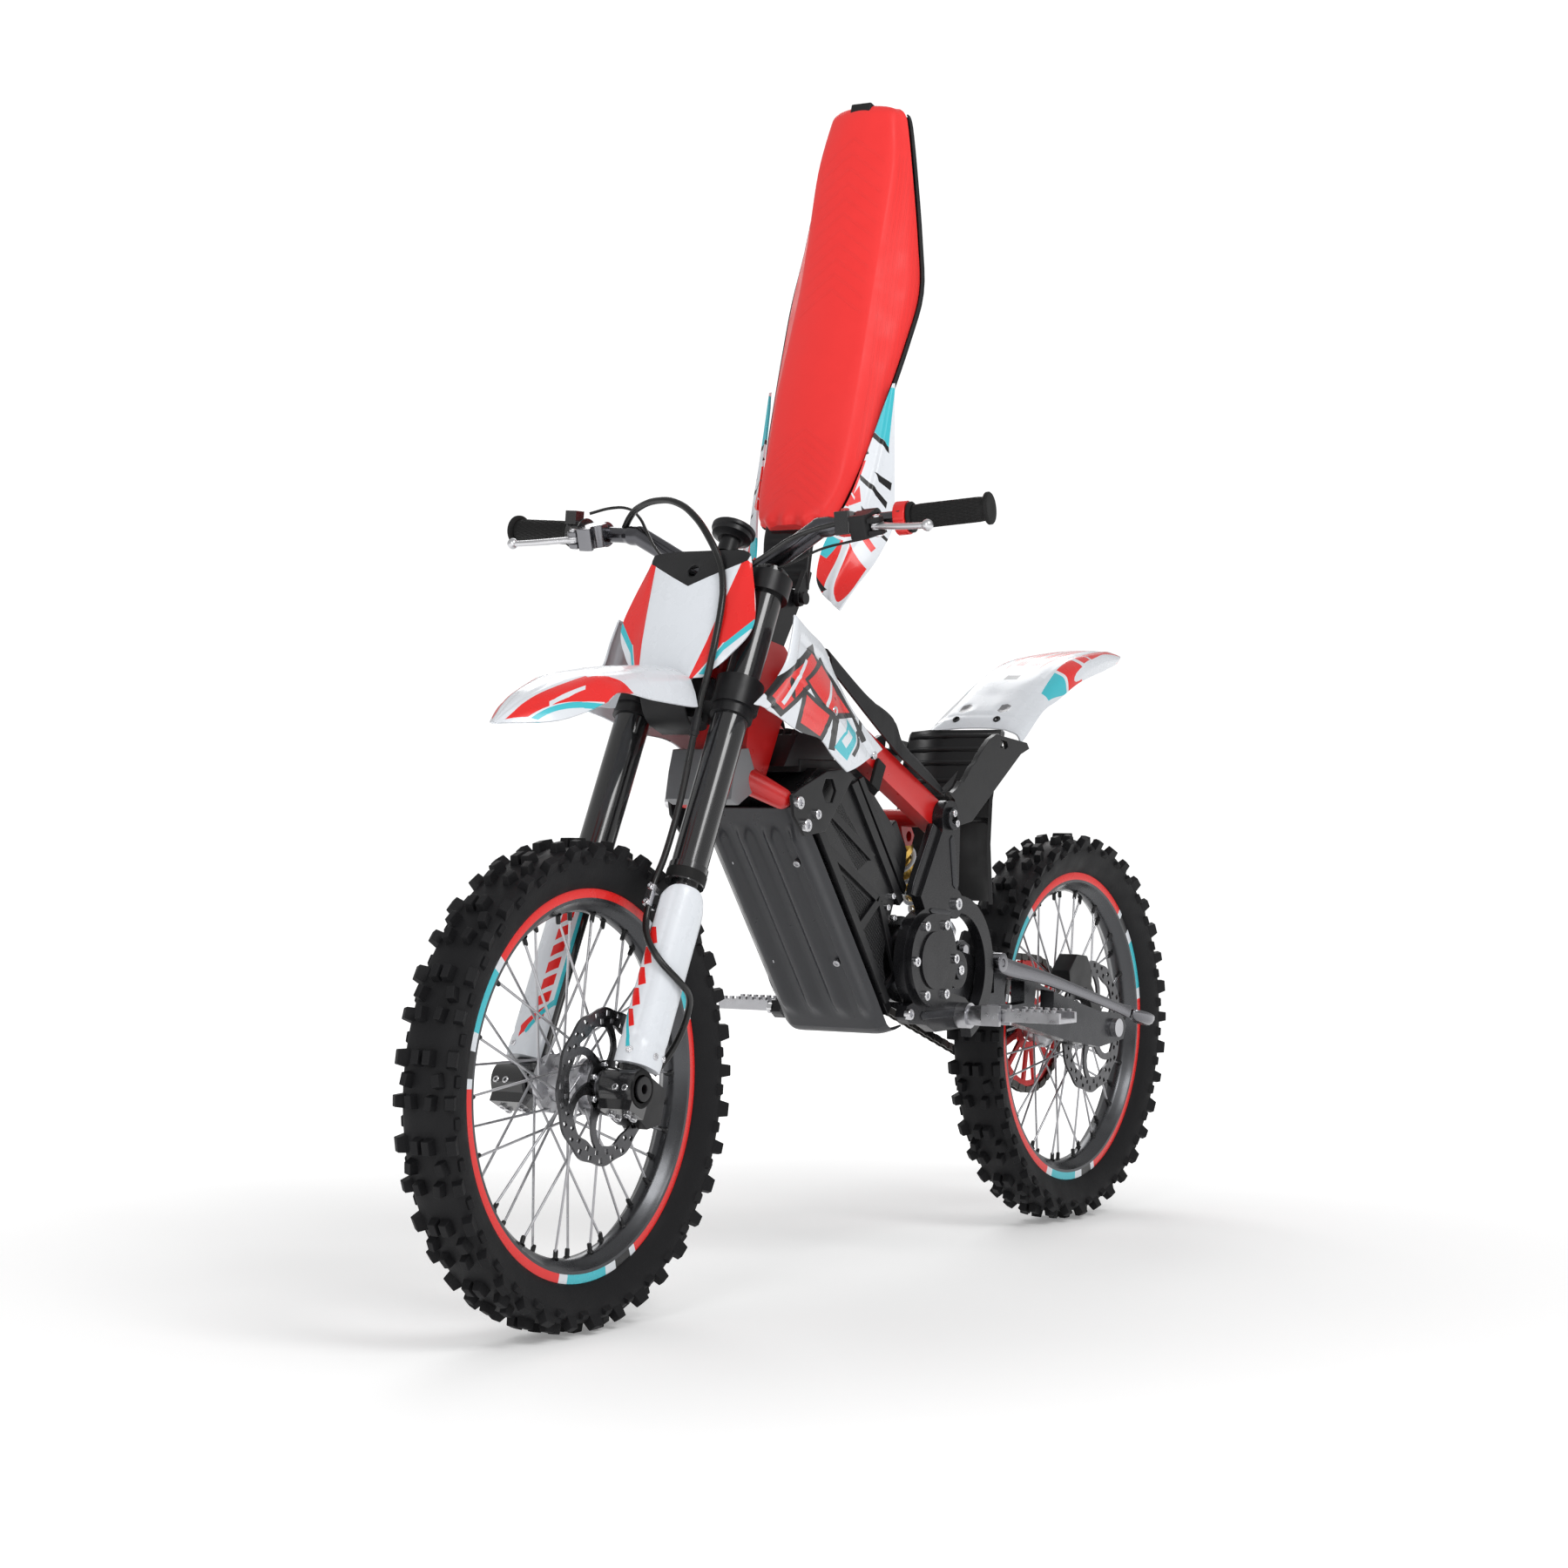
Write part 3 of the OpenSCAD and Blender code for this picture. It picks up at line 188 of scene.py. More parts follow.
class Paint:
    """One node-based material: a base colour with fine variation, printed shapes and a bump."""

    def __init__(self, name, color, rough=0.4, metal=0.0, coat=0.0, coat_rough=0.08, spec=0.5, vary=0.06,
                 vary_scale=30.0, rough_vary=0.08, bump=0.0, bump_scale=400.0, sheen=0.0):
        self.material = bpy.data.materials.new(name)
        self.material.use_nodes = True
        self.tree = self.material.node_tree
        self.shader = self.tree.nodes["Principled BSDF"]
        inputs = self.shader.inputs
        inputs["Metallic"].default_value = metal
        inputs["Coat Weight"].default_value = coat
        inputs["Coat Roughness"].default_value = coat_rough
        inputs["Specular IOR Level"].default_value = spec
        inputs["Sheen Weight"].default_value = sheen
        self.where = self.new("ShaderNodeTexCoord").outputs["Object"]
        noise = self.noise(vary_scale, 4)
        darker = [c * (1 - vary) for c in color]
        lighter = [min(1, c * (1 + vary)) for c in color]
        self.color = self.mix(noise, darker, lighter)
        self.link(self.color, inputs["Base Color"])
        self.link(self.between(noise, rough - rough_vary, rough + rough_vary), inputs["Roughness"])
        if bump:
            self.bump(self.noise(bump_scale, 3), bump)

    def new(self, kind, **values):
        node = self.tree.nodes.new(kind)
        for key, value in values.items():
            setattr(node, key, value)
        return node

    def link(self, source, target):
        self.tree.links.new(source, target)

    def feed(self, socket, value):
        if isinstance(value, bpy.types.NodeSocket):
            self.link(value, socket)
        elif isinstance(value, (list, tuple, Vector)) and socket.type == "RGBA":
            socket.default_value = (*value[:3], 1)
        else:
            socket.default_value = value

    def math(self, operation, *values):
        node = self.new("ShaderNodeMath", operation=operation)
        for socket, value in zip(node.inputs, values):
            self.feed(socket, value)
        return node.outputs[0]

    def dot(self, source, vector):
        node = self.new("ShaderNodeVectorMath", operation="DOT_PRODUCT")
        self.feed(node.inputs[0], source)
        self.feed(node.inputs[1], vector)
        return node.outputs["Value"]

    def noise(self, scale, detail):
        node = self.new("ShaderNodeTexNoise")
        self.link(self.where, node.inputs["Vector"])
        node.inputs["Scale"].default_value = scale
        node.inputs["Detail"].default_value = detail
        return node.outputs["Fac"]

    def between(self, factor, low, high, start=0.3, end=0.7):
        node = self.new("ShaderNodeMapRange")
        self.link(factor, node.inputs["Value"])
        for name, value in (("From Min", start), ("From Max", end), ("To Min", low), ("To Max", high)):
            node.inputs[name].default_value = value
        return node.outputs["Result"]

    def mix(self, factor, a, b):
        node = self.new("ShaderNodeMix", data_type="RGBA")
        self.feed(node.inputs["Factor"], factor)
        self.feed(node.inputs["A"], a)
        self.feed(node.inputs["B"], b)
        return node.outputs["Result"]

    def recolor(self, mask, color):
        """Lays a colour over the base colour where the mask is 1."""
        self.color = self.mix(mask, self.color, color)
        self.link(self.color, self.shader.inputs["Base Color"])

    def band(self, value, low, high):
        """1 where a value lies between two limits, else 0."""
        return self.math("MULTIPLY", self.math("GREATER_THAN", value, low), self.math("LESS_THAN", value, high))

    def bump(self, height, distance):
        """Adds one more layer of bump, with the height in metres at distance."""
        node = self.new("ShaderNodeBump")
        node.inputs["Distance"].default_value = distance
        self.link(height, node.inputs["Height"])
        normal = self.shader.inputs["Normal"]
        if normal.is_linked:
            self.link(normal.links[0].from_socket, node.inputs["Normal"])
        self.link(node.outputs["Normal"], normal)

    def union(self, masks):
        """The largest of several masks or heights."""
        top = masks[0]
        for mask in masks[1:]:
            top = self.math("MAXIMUM", top, mask)
        return top

    def offset(self, centre):
        """Object coordinates measured from a centre."""
        node = self.new("ShaderNodeVectorMath", operation="SUBTRACT")
        self.link(self.where, node.inputs[0])
        node.inputs[1].default_value = centre
        return node.outputs[0]

    def folded(self):
        """Object coordinates with the right side folded onto the left."""
        if not hasattr(self, "_folded"):
            apart = self.new("ShaderNodeSeparateXYZ")
            self.link(self.where, apart.inputs[0])
            joined = self.new("ShaderNodeCombineXYZ")
            self.link(apart.outputs["X"], joined.inputs["X"])
            self.link(self.math("ABSOLUTE", apart.outputs["Y"]), joined.inputs["Y"])
            self.link(apart.outputs["Z"], joined.inputs["Z"])
            self._folded = joined.outputs[0]
        return self._folded

    def inside(self, points, plane):
        """1 inside a convex outline drawn in millimetres on a plane, else 0."""
        origin, across, along = plane
        area = sum(a[0] * b[1] - b[0] * a[1] for a, b in zip(points, points[1:] + points[:1]))
        ring = points if area > 0 else points[::-1]
        least = None
        for a, b in zip(ring, ring[1:] + ring[:1]):
            edge = Vector((b[0] - a[0], b[1] - a[1]))
            normal = Vector((-edge.y, edge.x)).normalized()
            direction = normal.x * across + normal.y * along
            offset = (normal.x * a[0] + normal.y * a[1]) * MM + direction.dot(origin)
            reach = self.math("SUBTRACT", self.dot(self.folded(), direction), offset)
            least = reach if least is None else self.math("MINIMUM", least, reach)
        return self.math("GREATER_THAN", least, 0.0)

    def print_shapes(self, shapes, plane):
        """Prints (colour, outline) pairs over the base colour, in order."""
        for color, points in shapes:
            self.recolor(self.inside(points, plane), color)

    def radius(self, centre):
        """Distance from a line along Y through centre, in metres, and the offset it comes from."""
        flat = self.new("ShaderNodeVectorMath", operation="MULTIPLY")
        self.link(self.offset(centre), flat.inputs[0])
        flat.inputs[1].default_value = (1, 0, 1)
        length = self.new("ShaderNodeVectorMath", operation="LENGTH")
        self.link(flat.outputs[0], length.inputs[0])
        return length.outputs["Value"], flat.outputs[0]

    def angle(self, flat):
        """Turns round the axle, from 0 to 1, of an offset from radius()."""
        apart = self.new("ShaderNodeSeparateXYZ")
        self.link(flat, apart.inputs[0])
        turned = self.math("ARCTAN2", apart.outputs["Z"], apart.outputs["X"])
        return self.math("FRACT", self.math("ADD", self.math("DIVIDE", turned, TURN), 1.0))


def unit_plane(matrix, across, along):
    """Plane of a part's frame: origin, and the directions of its two axes."""
    origin = matrix @ Vector((0, 0, 0))
    turn = matrix.to_3x3().normalized()
    return origin, turn @ Vector(across), turn @ Vector(along)


RED = (0.56, 0.008, 0.008)
BRIGHT_RED = (0.78, 0.018, 0.016)
TEAL = (0.045, 0.5, 0.58)
WHITE = (0.72, 0.75, 0.79)
INK = (0.006, 0.006, 0.007)
SIDE = unit_plane(ROW, (1, 0, 0), (0, 0, 1))
TOP = unit_plane(ROW, (1, 0, 0), (0, 1, 0))
FACE = unit_plane(ROW, (0, 1, 0), (0, 0, 1))
FORK_FACE = unit_plane(FORK, (0, 1, 0), (0, 0, 1))
SEAT_SIDE = unit_plane(SEAT, (1, 0, 0), (0, 0, 1))
SEAT_TOP = unit_plane(SEAT, (1, 0, 0), (0, 1, 0))

MATS = {}


def plain(name, color, **look):
    MATS[name] = Paint(name, color, **look)


def material(mat):
    """The material of a Paint, or of the plain one with that name."""
    return (MATS[mat] if isinstance(mat, str) else mat).material


def make_materials():
    plain("frame_red", RED, rough=0.34, coat=0.35, coat_rough=0.25, bump=0.00004, bump_scale=900)
    plain("satin_black", (0.008, 0.008, 0.009), rough=0.36, spec=0.35, bump=0.00005, bump_scale=700, vary=0.2)
    plain("grain_black", (0.011, 0.011, 0.012), rough=0.5, spec=0.3, bump=0.00012, bump_scale=500, vary=0.15)
    plain("bash_grey", (0.03, 0.031, 0.035), rough=0.34, bump=0.00006, bump_scale=600, vary=0.1)
    plain("pack_black", (0.007, 0.007, 0.008), rough=0.34, spec=0.35, bump=0.0001, bump_scale=500, vary=0.2)
    plain("cast_metal", (0.045, 0.046, 0.05), rough=0.26, metal=0.9, bump=0.00008, bump_scale=450, vary=0.2)
    plain("cast_black", (0.016, 0.016, 0.018), rough=0.25, metal=0.5, bump=0.00005, bump_scale=450, vary=0.15)
    plain("grey_metal", (0.22, 0.22, 0.235), rough=0.24, metal=1.0, bump=0.00005, bump_scale=600, vary=0.12)
    plain("gloss_black", (0.01, 0.01, 0.011), rough=0.2, coat=0.8, coat_rough=0.05, rough_vary=0.04)
    plain("anodised", (0.11, 0.11, 0.12), rough=0.22, metal=1.0, vary=0.1, rough_vary=0.05)
    plain("bright", (0.72, 0.72, 0.74), rough=0.24, metal=1.0, vary=0.1, rough_vary=0.08, vary_scale=60)
    plain("machined", (0.5, 0.5, 0.52), rough=0.34, metal=1.0, vary=0.15, rough_vary=0.1, vary_scale=80,
          bump=0.00004, bump_scale=800)
    plain("lever_alloy", (0.66, 0.66, 0.68), rough=0.32, metal=1.0, vary=0.06, bump=0.00003, bump_scale=700)
    plain("rubber", (0.008, 0.008, 0.008), rough=0.62, spec=0.25, bump=0.0001, bump_scale=600, vary=0.25)
    plain("tyre_rubber", (0.007, 0.007, 0.008), rough=0.6, spec=0.22, bump=0.00025, bump_scale=350, vary=0.3)
    plain("hose_rubber", (0.006, 0.006, 0.006), rough=0.3, vary=0.2)
    plain("disc_steel", (0.1, 0.1, 0.105), rough=0.3, metal=1.0, vary=0.2, vary_scale=120, rough_vary=0.1)
    plain("chain_steel", (0.09, 0.085, 0.08), rough=0.36, metal=1.0, vary=0.3, vary_scale=90)
    plain("sprocket_red", (0.5, 0.02, 0.02), rough=0.3, metal=0.8, vary=0.1)
    plain("back_white", WHITE, rough=0.4, vary=0.03)
    plain("gold", (0.62, 0.4, 0.1), rough=0.3, metal=1.0, vary=0.1)
    plain("grey_plastic", (0.2, 0.205, 0.215), rough=0.4, metal=0.2, bump=0.00006, bump_scale=500)
    plain("button_red", (0.6, 0.02, 0.02), rough=0.3, coat=0.4)
    plain("collar_red", BRIGHT_RED, rough=0.3, metal=0.3, coat=0.4)


def gloss_white(name):
    return Paint(name, WHITE, rough=0.28, coat=0.22, coat_rough=0.06, spec=0.4, vary=0.015, rough_vary=0.05,
                 bump=0.00002, bump_scale=250)


# ---------- mesh building ----------

class Shape:
    """A mesh gathered from simple forms. Points are in millimetres until a matrix places them."""

    def __init__(self, matrix=ROW):
        self.points, self.faces, self.slots = [], [], []
        self.matrix = matrix

    def add(self, points, faces, slot=0, move=None):
        matrix = self.matrix if move is None else self.matrix @ move
        flip = matrix.determinant() < 0
        base = len(self.points)
        self.points += [matrix @ Vector(p) for p in points]
        self.faces += [tuple(base + i for i in (reversed(f) if flip else f)) for f in faces]
        self.slots += [slot] * len(faces)

    def grid(self, rows, slot=0, move=None, close=False, around=False):
        """Rows of points joined by quads: close joins each row's ends, around joins the last row to the first."""
        across = len(rows[0])
        points = [p for row in rows for p in row]
        faces = []
        for i in range(len(rows) if around else len(rows) - 1):
            for j in range(across if close else across - 1):
                k, n = (i + 1) % len(rows), (j + 1) % across
                faces.append((i * across + j, i * across + n, k * across + n, k * across + j))
        self.add(points, faces, slot, move)

    def block(self, low, high, move=None, taper=1.0):
        """A box whose top is taper times as wide as its base."""
        mid = [(a + b) / 2 for a, b in zip(low, high)]
        half = [(b - a) / 2 for a, b in zip(low, high)]
        points = [(mid[0] + sx * half[0] * (taper if z > 0 else 1), mid[1] + sy * half[1] * (taper if z > 0 else 1),
                   mid[2] + z * half[2]) for z in (-1, 1) for sx, sy in ((-1, -1), (1, -1), (1, 1), (-1, 1))]
        self.add(points, [(3, 2, 1, 0), (4, 5, 6, 7), (0, 1, 5, 4), (1, 2, 6, 5), (2, 3, 7, 6), (3, 0, 4, 7)],
                 move=move)

    def prism(self, outline, y0, y1, move=None):
        """A side-view outline (x, z) filled between two planes of y."""
        count = len(outline)
        area = sum(a[0] * b[1] - b[0] * a[1] for a, b in zip(outline, outline[1:] + outline[:1]))
        ring = outline if area > 0 else outline[::-1]
        points = [(x, y0, z) for x, z in ring] + [(x, y1, z) for x, z in ring]
        faces = [tuple(range(count)), tuple(range(2 * count - 1, count - 1, -1))]
        faces += [(i, i + count, (i + 1) % count + count, (i + 1) % count) for i in range(count)]
        self.add(points, faces, move=move)

    def lathe(self, profile, steps=64, slot=0, move=None, closed=False):
        """Turns (radius, height) points about +Z. closed joins the profile's ends."""
        rows = []
        for i in range(steps):
            c, s = math.cos(TURN * i / steps), math.sin(TURN * i / steps)
            rows.append([(r * c, r * s, h) for r, h in profile])
        self.grid(rows, slot, move, close=closed, around=True)

    def rod(self, a, b, radius, sides=12):
        """A straight capped rod between two points."""
        a, b = Vector(a), Vector(b)
        turn = (b - a).to_track_quat("Z", "Y").to_matrix().to_4x4()
        rows = [[(*polar(radius, spin), h) for spin in angles(sides)] for h in (0, (b - a).length)]
        base = len(self.points)
        self.grid(rows, 0, Matrix.Translation(a) @ turn, close=True)
        flip = self.matrix.determinant() < 0
        caps = [tuple(range(base + sides - 1, base - 1, -1)), tuple(range(base + sides, base + 2 * sides))]
        self.faces += [tuple(reversed(c)) if flip else c for c in caps]
        self.slots += [0] * 2

    def bolt(self, place, head, height, slot=0, direction=(0, 1, 0)):
        """A socket cap head: chamfered drum with a round pit, pointing along direction."""
        turn = Vector(direction).to_track_quat("Z", "Y").to_matrix().to_4x4()
        spot = Matrix.Translation(Vector(place)) @ turn
        self.lathe([(head, -2), (head, height - 0.8), (head - 0.8, height), (head * 0.55, height)], 24, slot, spot)
        pit = [[(*polar(r, a), h) for a in angles(24)]
               for r, h in ((head * 0.55, height), (head * 0.48, height - 0.5), (head * 0.44, height * 0.35),
                            (0.01, height * 0.35))]
        self.grid(pit, slot, spot, close=True)

    def build(self, name, mats, smooth=True):
        """The gathered mesh as an object in the scene."""
        mesh = bpy.data.meshes.new(name)
        mesh.from_pydata(self.points, [], self.faces)
        for mat in mats:
            mesh.materials.append(material(mat))
        mesh.polygons.foreach_set("use_smooth", [smooth] * len(mesh.polygons))
        obj = bpy.data.objects.new(name, mesh)
        bpy.context.scene.collection.objects.link(obj)
        return obj

    def make_blended(self, name, mat, replaced, smooth=True):
        """Makes a piece with its points baked into the bike's frame, attached to no body, and hides the CAD node it
        replaces.
        """
        obj = self.build(name, [mat], smooth)
        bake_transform(obj)
        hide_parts(replaced)

    def make(self, name, body, mats, slot, replaces=(), levels=0, thick=0.0, bevel=0.0, offset=-1.0, angle=32,
             sharp=38, segments=2, plain_back=False):
        """Makes one piece, with its modifiers, body and the CAD nodes it replaces; the material slot argument is not
        used.
        """
        obj = self.build(name, mats)
        mesh = obj.data
        mesh.polygons.foreach_set("material_index", self.slots)
        mesh.validate()
        mesh.update()
        if levels:
            sub = obj.modifiers.new("smooth", "SUBSURF")
            sub.levels = sub.render_levels = levels
        if thick:
            skin = obj.modifiers.new("skin", "SOLIDIFY")
            skin.thickness, skin.offset, skin.use_even_offset = thick * MM, offset, True
            if plain_back:
                mesh.materials.append(material("back_white"))
                skin.material_offset = len(mesh.materials) - 1
        if bevel:
            round_off = obj.modifiers.new("round", "BEVEL")
            round_off.width, round_off.segments = bevel * MM, segments
            round_off.limit_method, round_off.angle_limit = "ANGLE", math.radians(angle)
        if not levels or thick:
            if not bevel:
                mesh.set_sharp_from_angle(angle=math.radians(sharp))
            obj.modifiers.new("normals", "WEIGHTED_NORMAL").keep_sharp = True
        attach(obj, body)
        if replaces:
            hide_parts(*replaces)
        return obj


def add_sheet(rows, name, body, mat, slot, matrix=ROW, **finish):
    """A thin moulded shell through rows of points."""
    shape = Shape(matrix)
    shape.grid(rows)
    shape.make(name, body, [mat], slot, angle=50, **finish)


def add_bolts(name, body, spots, matrix=ROW, mats=("bright",)):
    """Cap heads from (place, head radius, height, direction) spots."""
    bolts = Shape(matrix)
    for place, head, height, direction in spots:
        bolts.bolt(place, head, height, direction=direction)
    bolts.make(name, body, mats, "bolt_steel", sharp=40)


def dress(node, mat, bevel):
    """Gives a CAD node its material, softened edges and smooth curved faces."""
    obj = NODES[node]
    obj.data.materials.clear()
    obj.data.materials.append(material(mat))
    obj.data.polygons.foreach_set("material_index", [0] * len(obj.data.polygons))
    custom = obj.data.attributes.get("custom_normal")
    if custom:
        obj.data.attributes.remove(custom)
    obj.data.polygons.foreach_set("use_smooth", [True] * len(obj.data.polygons))
    obj.modifiers.new("weld", "WELD").merge_threshold = 0.00002
    if bevel:
        round_off = obj.modifiers.new("round", "BEVEL")
        round_off.width, round_off.segments = bevel * MM, 2
        round_off.limit_method, round_off.angle_limit = "ANGLE", math.radians(40)
        round_off.use_clamp_overlap = True
    obj.modifiers.new("normals", "WEIGHTED_NORMAL").keep_sharp = True


def add_hose(name, points, radius, replaces=()):
    """A round hose on the steering, along points in millimetres."""
    data = bpy.data.curves.new(name, "CURVE")
    data.dimensions, data.bevel_depth, data.bevel_resolution = "3D", radius * MM, 5
    data.use_fill_caps = True
    store = data.splines.new("BEZIER").bezier_points
    store.add(len(points) - 1)
    for spot, p in zip(store, points):
        spot.co = Vector(p) * MM
        spot.handle_left_type = spot.handle_right_type = "AUTO"
    data.resolution_u = 10
    data.materials.append(material("hose_rubber"))
    obj = bpy.data.objects.new(name, data)
    bpy.context.scene.collection.objects.link(obj)
    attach(obj, "steering")
    if replaces:
        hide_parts(*replaces)


def mirror_row(half):
    """Full row of points from the half that starts on the middle plane."""
    return [(x, -y, z) for x, y, z in half[:0:-1]] + list(half)


# ---------- wheels ----------

def add_tyre(name, body, place, replaces):
    """A knobbly tyre: carcass, then blocks by rows round the tread."""
    carcass = [(237, 14), (238, 20.3), (245, 20.8), (250.6, 21.2), (252.6, 23.4), (255, 27.4), (264, 33), (277, 37.6),
               (288, 39.5), (296, 38.5), (301, 32), (304, 18), (305, 0)]
    ring = carcass + [(r, -y) for r, y in carcass[-2::-1]]
    tyre = Shape(place)
    tyre.lathe(ring, 120, closed=True)

    def knobs(spin, y, tilt, width, length, height, radius, skew=0.0, taper=0.78):
        """A tapered block on each side of the middle."""
        for s in (-1, 1):
            up = (spin @ Matrix.Translation((radius, 0, s * y)) @ Matrix.Rotation(-s * math.radians(tilt), 4, "Y")
                  @ Matrix.Rotation(math.pi / 2, 4, "Y") @ Matrix.Rotation(s * math.radians(skew), 4, "Z"))
            tyre.block((-width / 2, -length / 2, -3), (width / 2, length / 2, height), up, taper)

    pitches = 36
    for i in range(pitches):
        odd = i % 2
        turn = Matrix.Rotation(TURN * i / pitches, 4, "Z")
        half_turn = Matrix.Rotation(TURN * (i + 0.5) / pitches, 4, "Z")
        if odd:
            knobs(turn, 8.4, 0, 14, 22, 12.5, 304)
            knobs(half_turn, 22.5, 8, 13, 20, 12.5, 302.5, 12)
        else:
            knobs(turn, 14.5, 3, 12, 20, 12.5, 303.5, -8)
        knobs(turn, 34.5, 34, 15, 24 if odd else 19, 14, 296.5, 0, 0.76)
        knobs(half_turn, 38.5, 62, 10, 18, 6, 289.5, 0, 0.7)
    tyre.make(name, body, ["tyre_rubber"], "tyre_rubber", replaces, bevel=0.9)


def rim_paint(name, centre, start):
    """Dark anodised rim with a printed ring of tape on each flange."""
    paint = Paint(name, (0.085, 0.087, 0.092), rough=0.28, metal=0.9, vary=0.1, rough_vary=0.06)
    reach, flat = paint.radius(centre)
    turned = paint.math("FRACT", paint.math("ADD", paint.angle(flat), start))
    flange = paint.math("GREATER_THAN", paint.math("ABSOLUTE", paint.dot(paint.where, (0, 1, 0))), 0.0222)
    ring = paint.math("MULTIPLY", paint.band(reach, 0.2402, 0.2522), flange)
    tape = BRIGHT_RED
    marks = ((0.03, 0.075, WHITE), (0.038, 0.06, INK), (0.075, 0.13, TEAL), (0.13, 0.142, WHITE))
    for low, high, color in [(a + k / 3, b + k / 3, c) for k in range(3) for a, b, c in marks]:
        tape = paint.mix(paint.band(turned, low, high), tape, color)
    paint.recolor(ring, tape)
    paint.link(paint.between(ring, 0.9, 0.0, 0.0, 1.0), paint.shader.inputs["Metallic"])
    return paint


def add_rim(name, body, place, centre, start, replaces):
    """A rolled rim section with its tape, and a nipple at the foot of each spoke."""
    outer = [(251.5, 23.4), (252.6, 22.6), (251.8, 21.4), (246, 21), (238, 20.9), (236.6, 19), (235.4, 13),
             (229, 9), (226.5, 5), (226.5, 0)]
    inner = [(221.6, 0), (221.6, 6), (225, 10.5), (230, 15), (233.5, 20), (236, 23.4), (243, 23.8)]
    half = outer[::-1] + [(r, y) for r, y in inner[::-1]]
    ring = half + [(r, -y) for r, y in half[-2:0:-1]]
    rim = Shape(place)
    rim.lathe(ring, 144, closed=True)
    rim.make(name + "_rim", body, [rim_paint(name + "_rim_paint", centre, start)], "rim_dark", replaces, sharp=50)
    nipples = Shape(place)
    for i in range(SPOKES):
        turn, s = Matrix.Rotation(TURN * i / SPOKES, 4, "Z"), 1 if i % 2 == 0 else -1
        at = turn @ Matrix.Translation((212, 0, s * 4.2)) @ Matrix.Rotation(math.pi / 2 - s * 0.05, 4, "Y")
        nipples.lathe([(0.1, -2), (2.6, -2), (3.2, 0), (3.2, 8), (4.4, 9), (5.4, 10.5)], 10, 0, at)
    nipples.make(name + "_nipples", body, ["satin_black"], "rim_dark", sharp=50)


def add_disc(name, body, place, radius, y, replaces):
    """A petal brake disc: wavy drilled ring, curved arms and a bolted centre ring."""
    disc = Shape(place @ Matrix.Translation((0, 0, y)))
    steps, levels = 168, 7

    def edge(part, a):
        """Radius of the wavy ring at this angle, from its inner edge, part 0, to its outer one, part 1."""
        outer = radius - 1.6 + 1.6 * math.cos(12 * a)
        inner = radius - 24 + 1.8 * math.cos(12 * (a + 0.26))
        return outer * part + inner * (1 - part)

    for z, flip in ((1.9, False), (-1.9, True)):
        rows = [[(*polar(edge(k / levels, a), a), z) for a in angles(steps)] for k in range(levels + 1)]
        points = [p for row in (rows[::-1] if flip else rows) for p in row]
        faces = []
        for i in range(levels):
            level = levels - 1 - i if flip else i
            for j in range(steps):
                hole = (j % 7 in (1, 2) and level in (1, 2)) or (j % 7 in (4, 5) and level in (4, 5))
                if not hole:
                    n = (j + 1) % steps
                    faces.append((i * steps + j, i * steps + n, (i + 1) * steps + n, (i + 1) * steps + j))
        disc.add(points, faces)
    close_sheets(disc, steps)
    for spin in angles(6):
        arm = []
        for t in range(7):
            u = t / 6
            r, bend = 30 + (radius - 52) * u, 0.42 * u * u
            width = 9 - 5 * math.sin(math.pi * u) * 0.7
            c, s = math.cos(bend), math.sin(bend)
            arm.append((r * c + width * s, r * s - width * c, r * c - width * s, r * s + width * c))
        ring = [(a[0], a[1]) for a in arm] + [(a[2], a[3]) for a in reversed(arm)]
        disc.prism(ring, -1.8, 1.8, Matrix.Rotation(spin, 4, "Z") @ SWAP_YZ)
    disc.lathe([(34, -2), (34, 2), (22, 2), (22, -2)], 60, closed=True)
    out = 1 if y > 0 else -1
    for i in range(6):
        disc.bolt((*polar(28, TURN * (i + 0.5) / 6), 2 * out), 4.2, 3.4, 1, direction=(0, 0, out))
    disc.make(name, body, ["disc_steel", "bright"], "disc_steel", replaces, sharp=40)


def close_sheets(shape, steps):
    """Joins two facing round sheets of the same outline along their open edges."""
    edges = dict.fromkeys(edge for face in shape.faces for edge in zip(face, face[1:] + face[:1]))
    half = len(shape.points) // 2
    levels = half // steps

    def partner(i):
        ring, column = divmod(i, steps)
        return half + (levels - 1 - ring) * steps + column

    for a, b in edges:
        if (b, a) not in edges and a < half:
            shape.faces.append((b, a, partner(a), partner(b)))
            shape.slots.append(0)


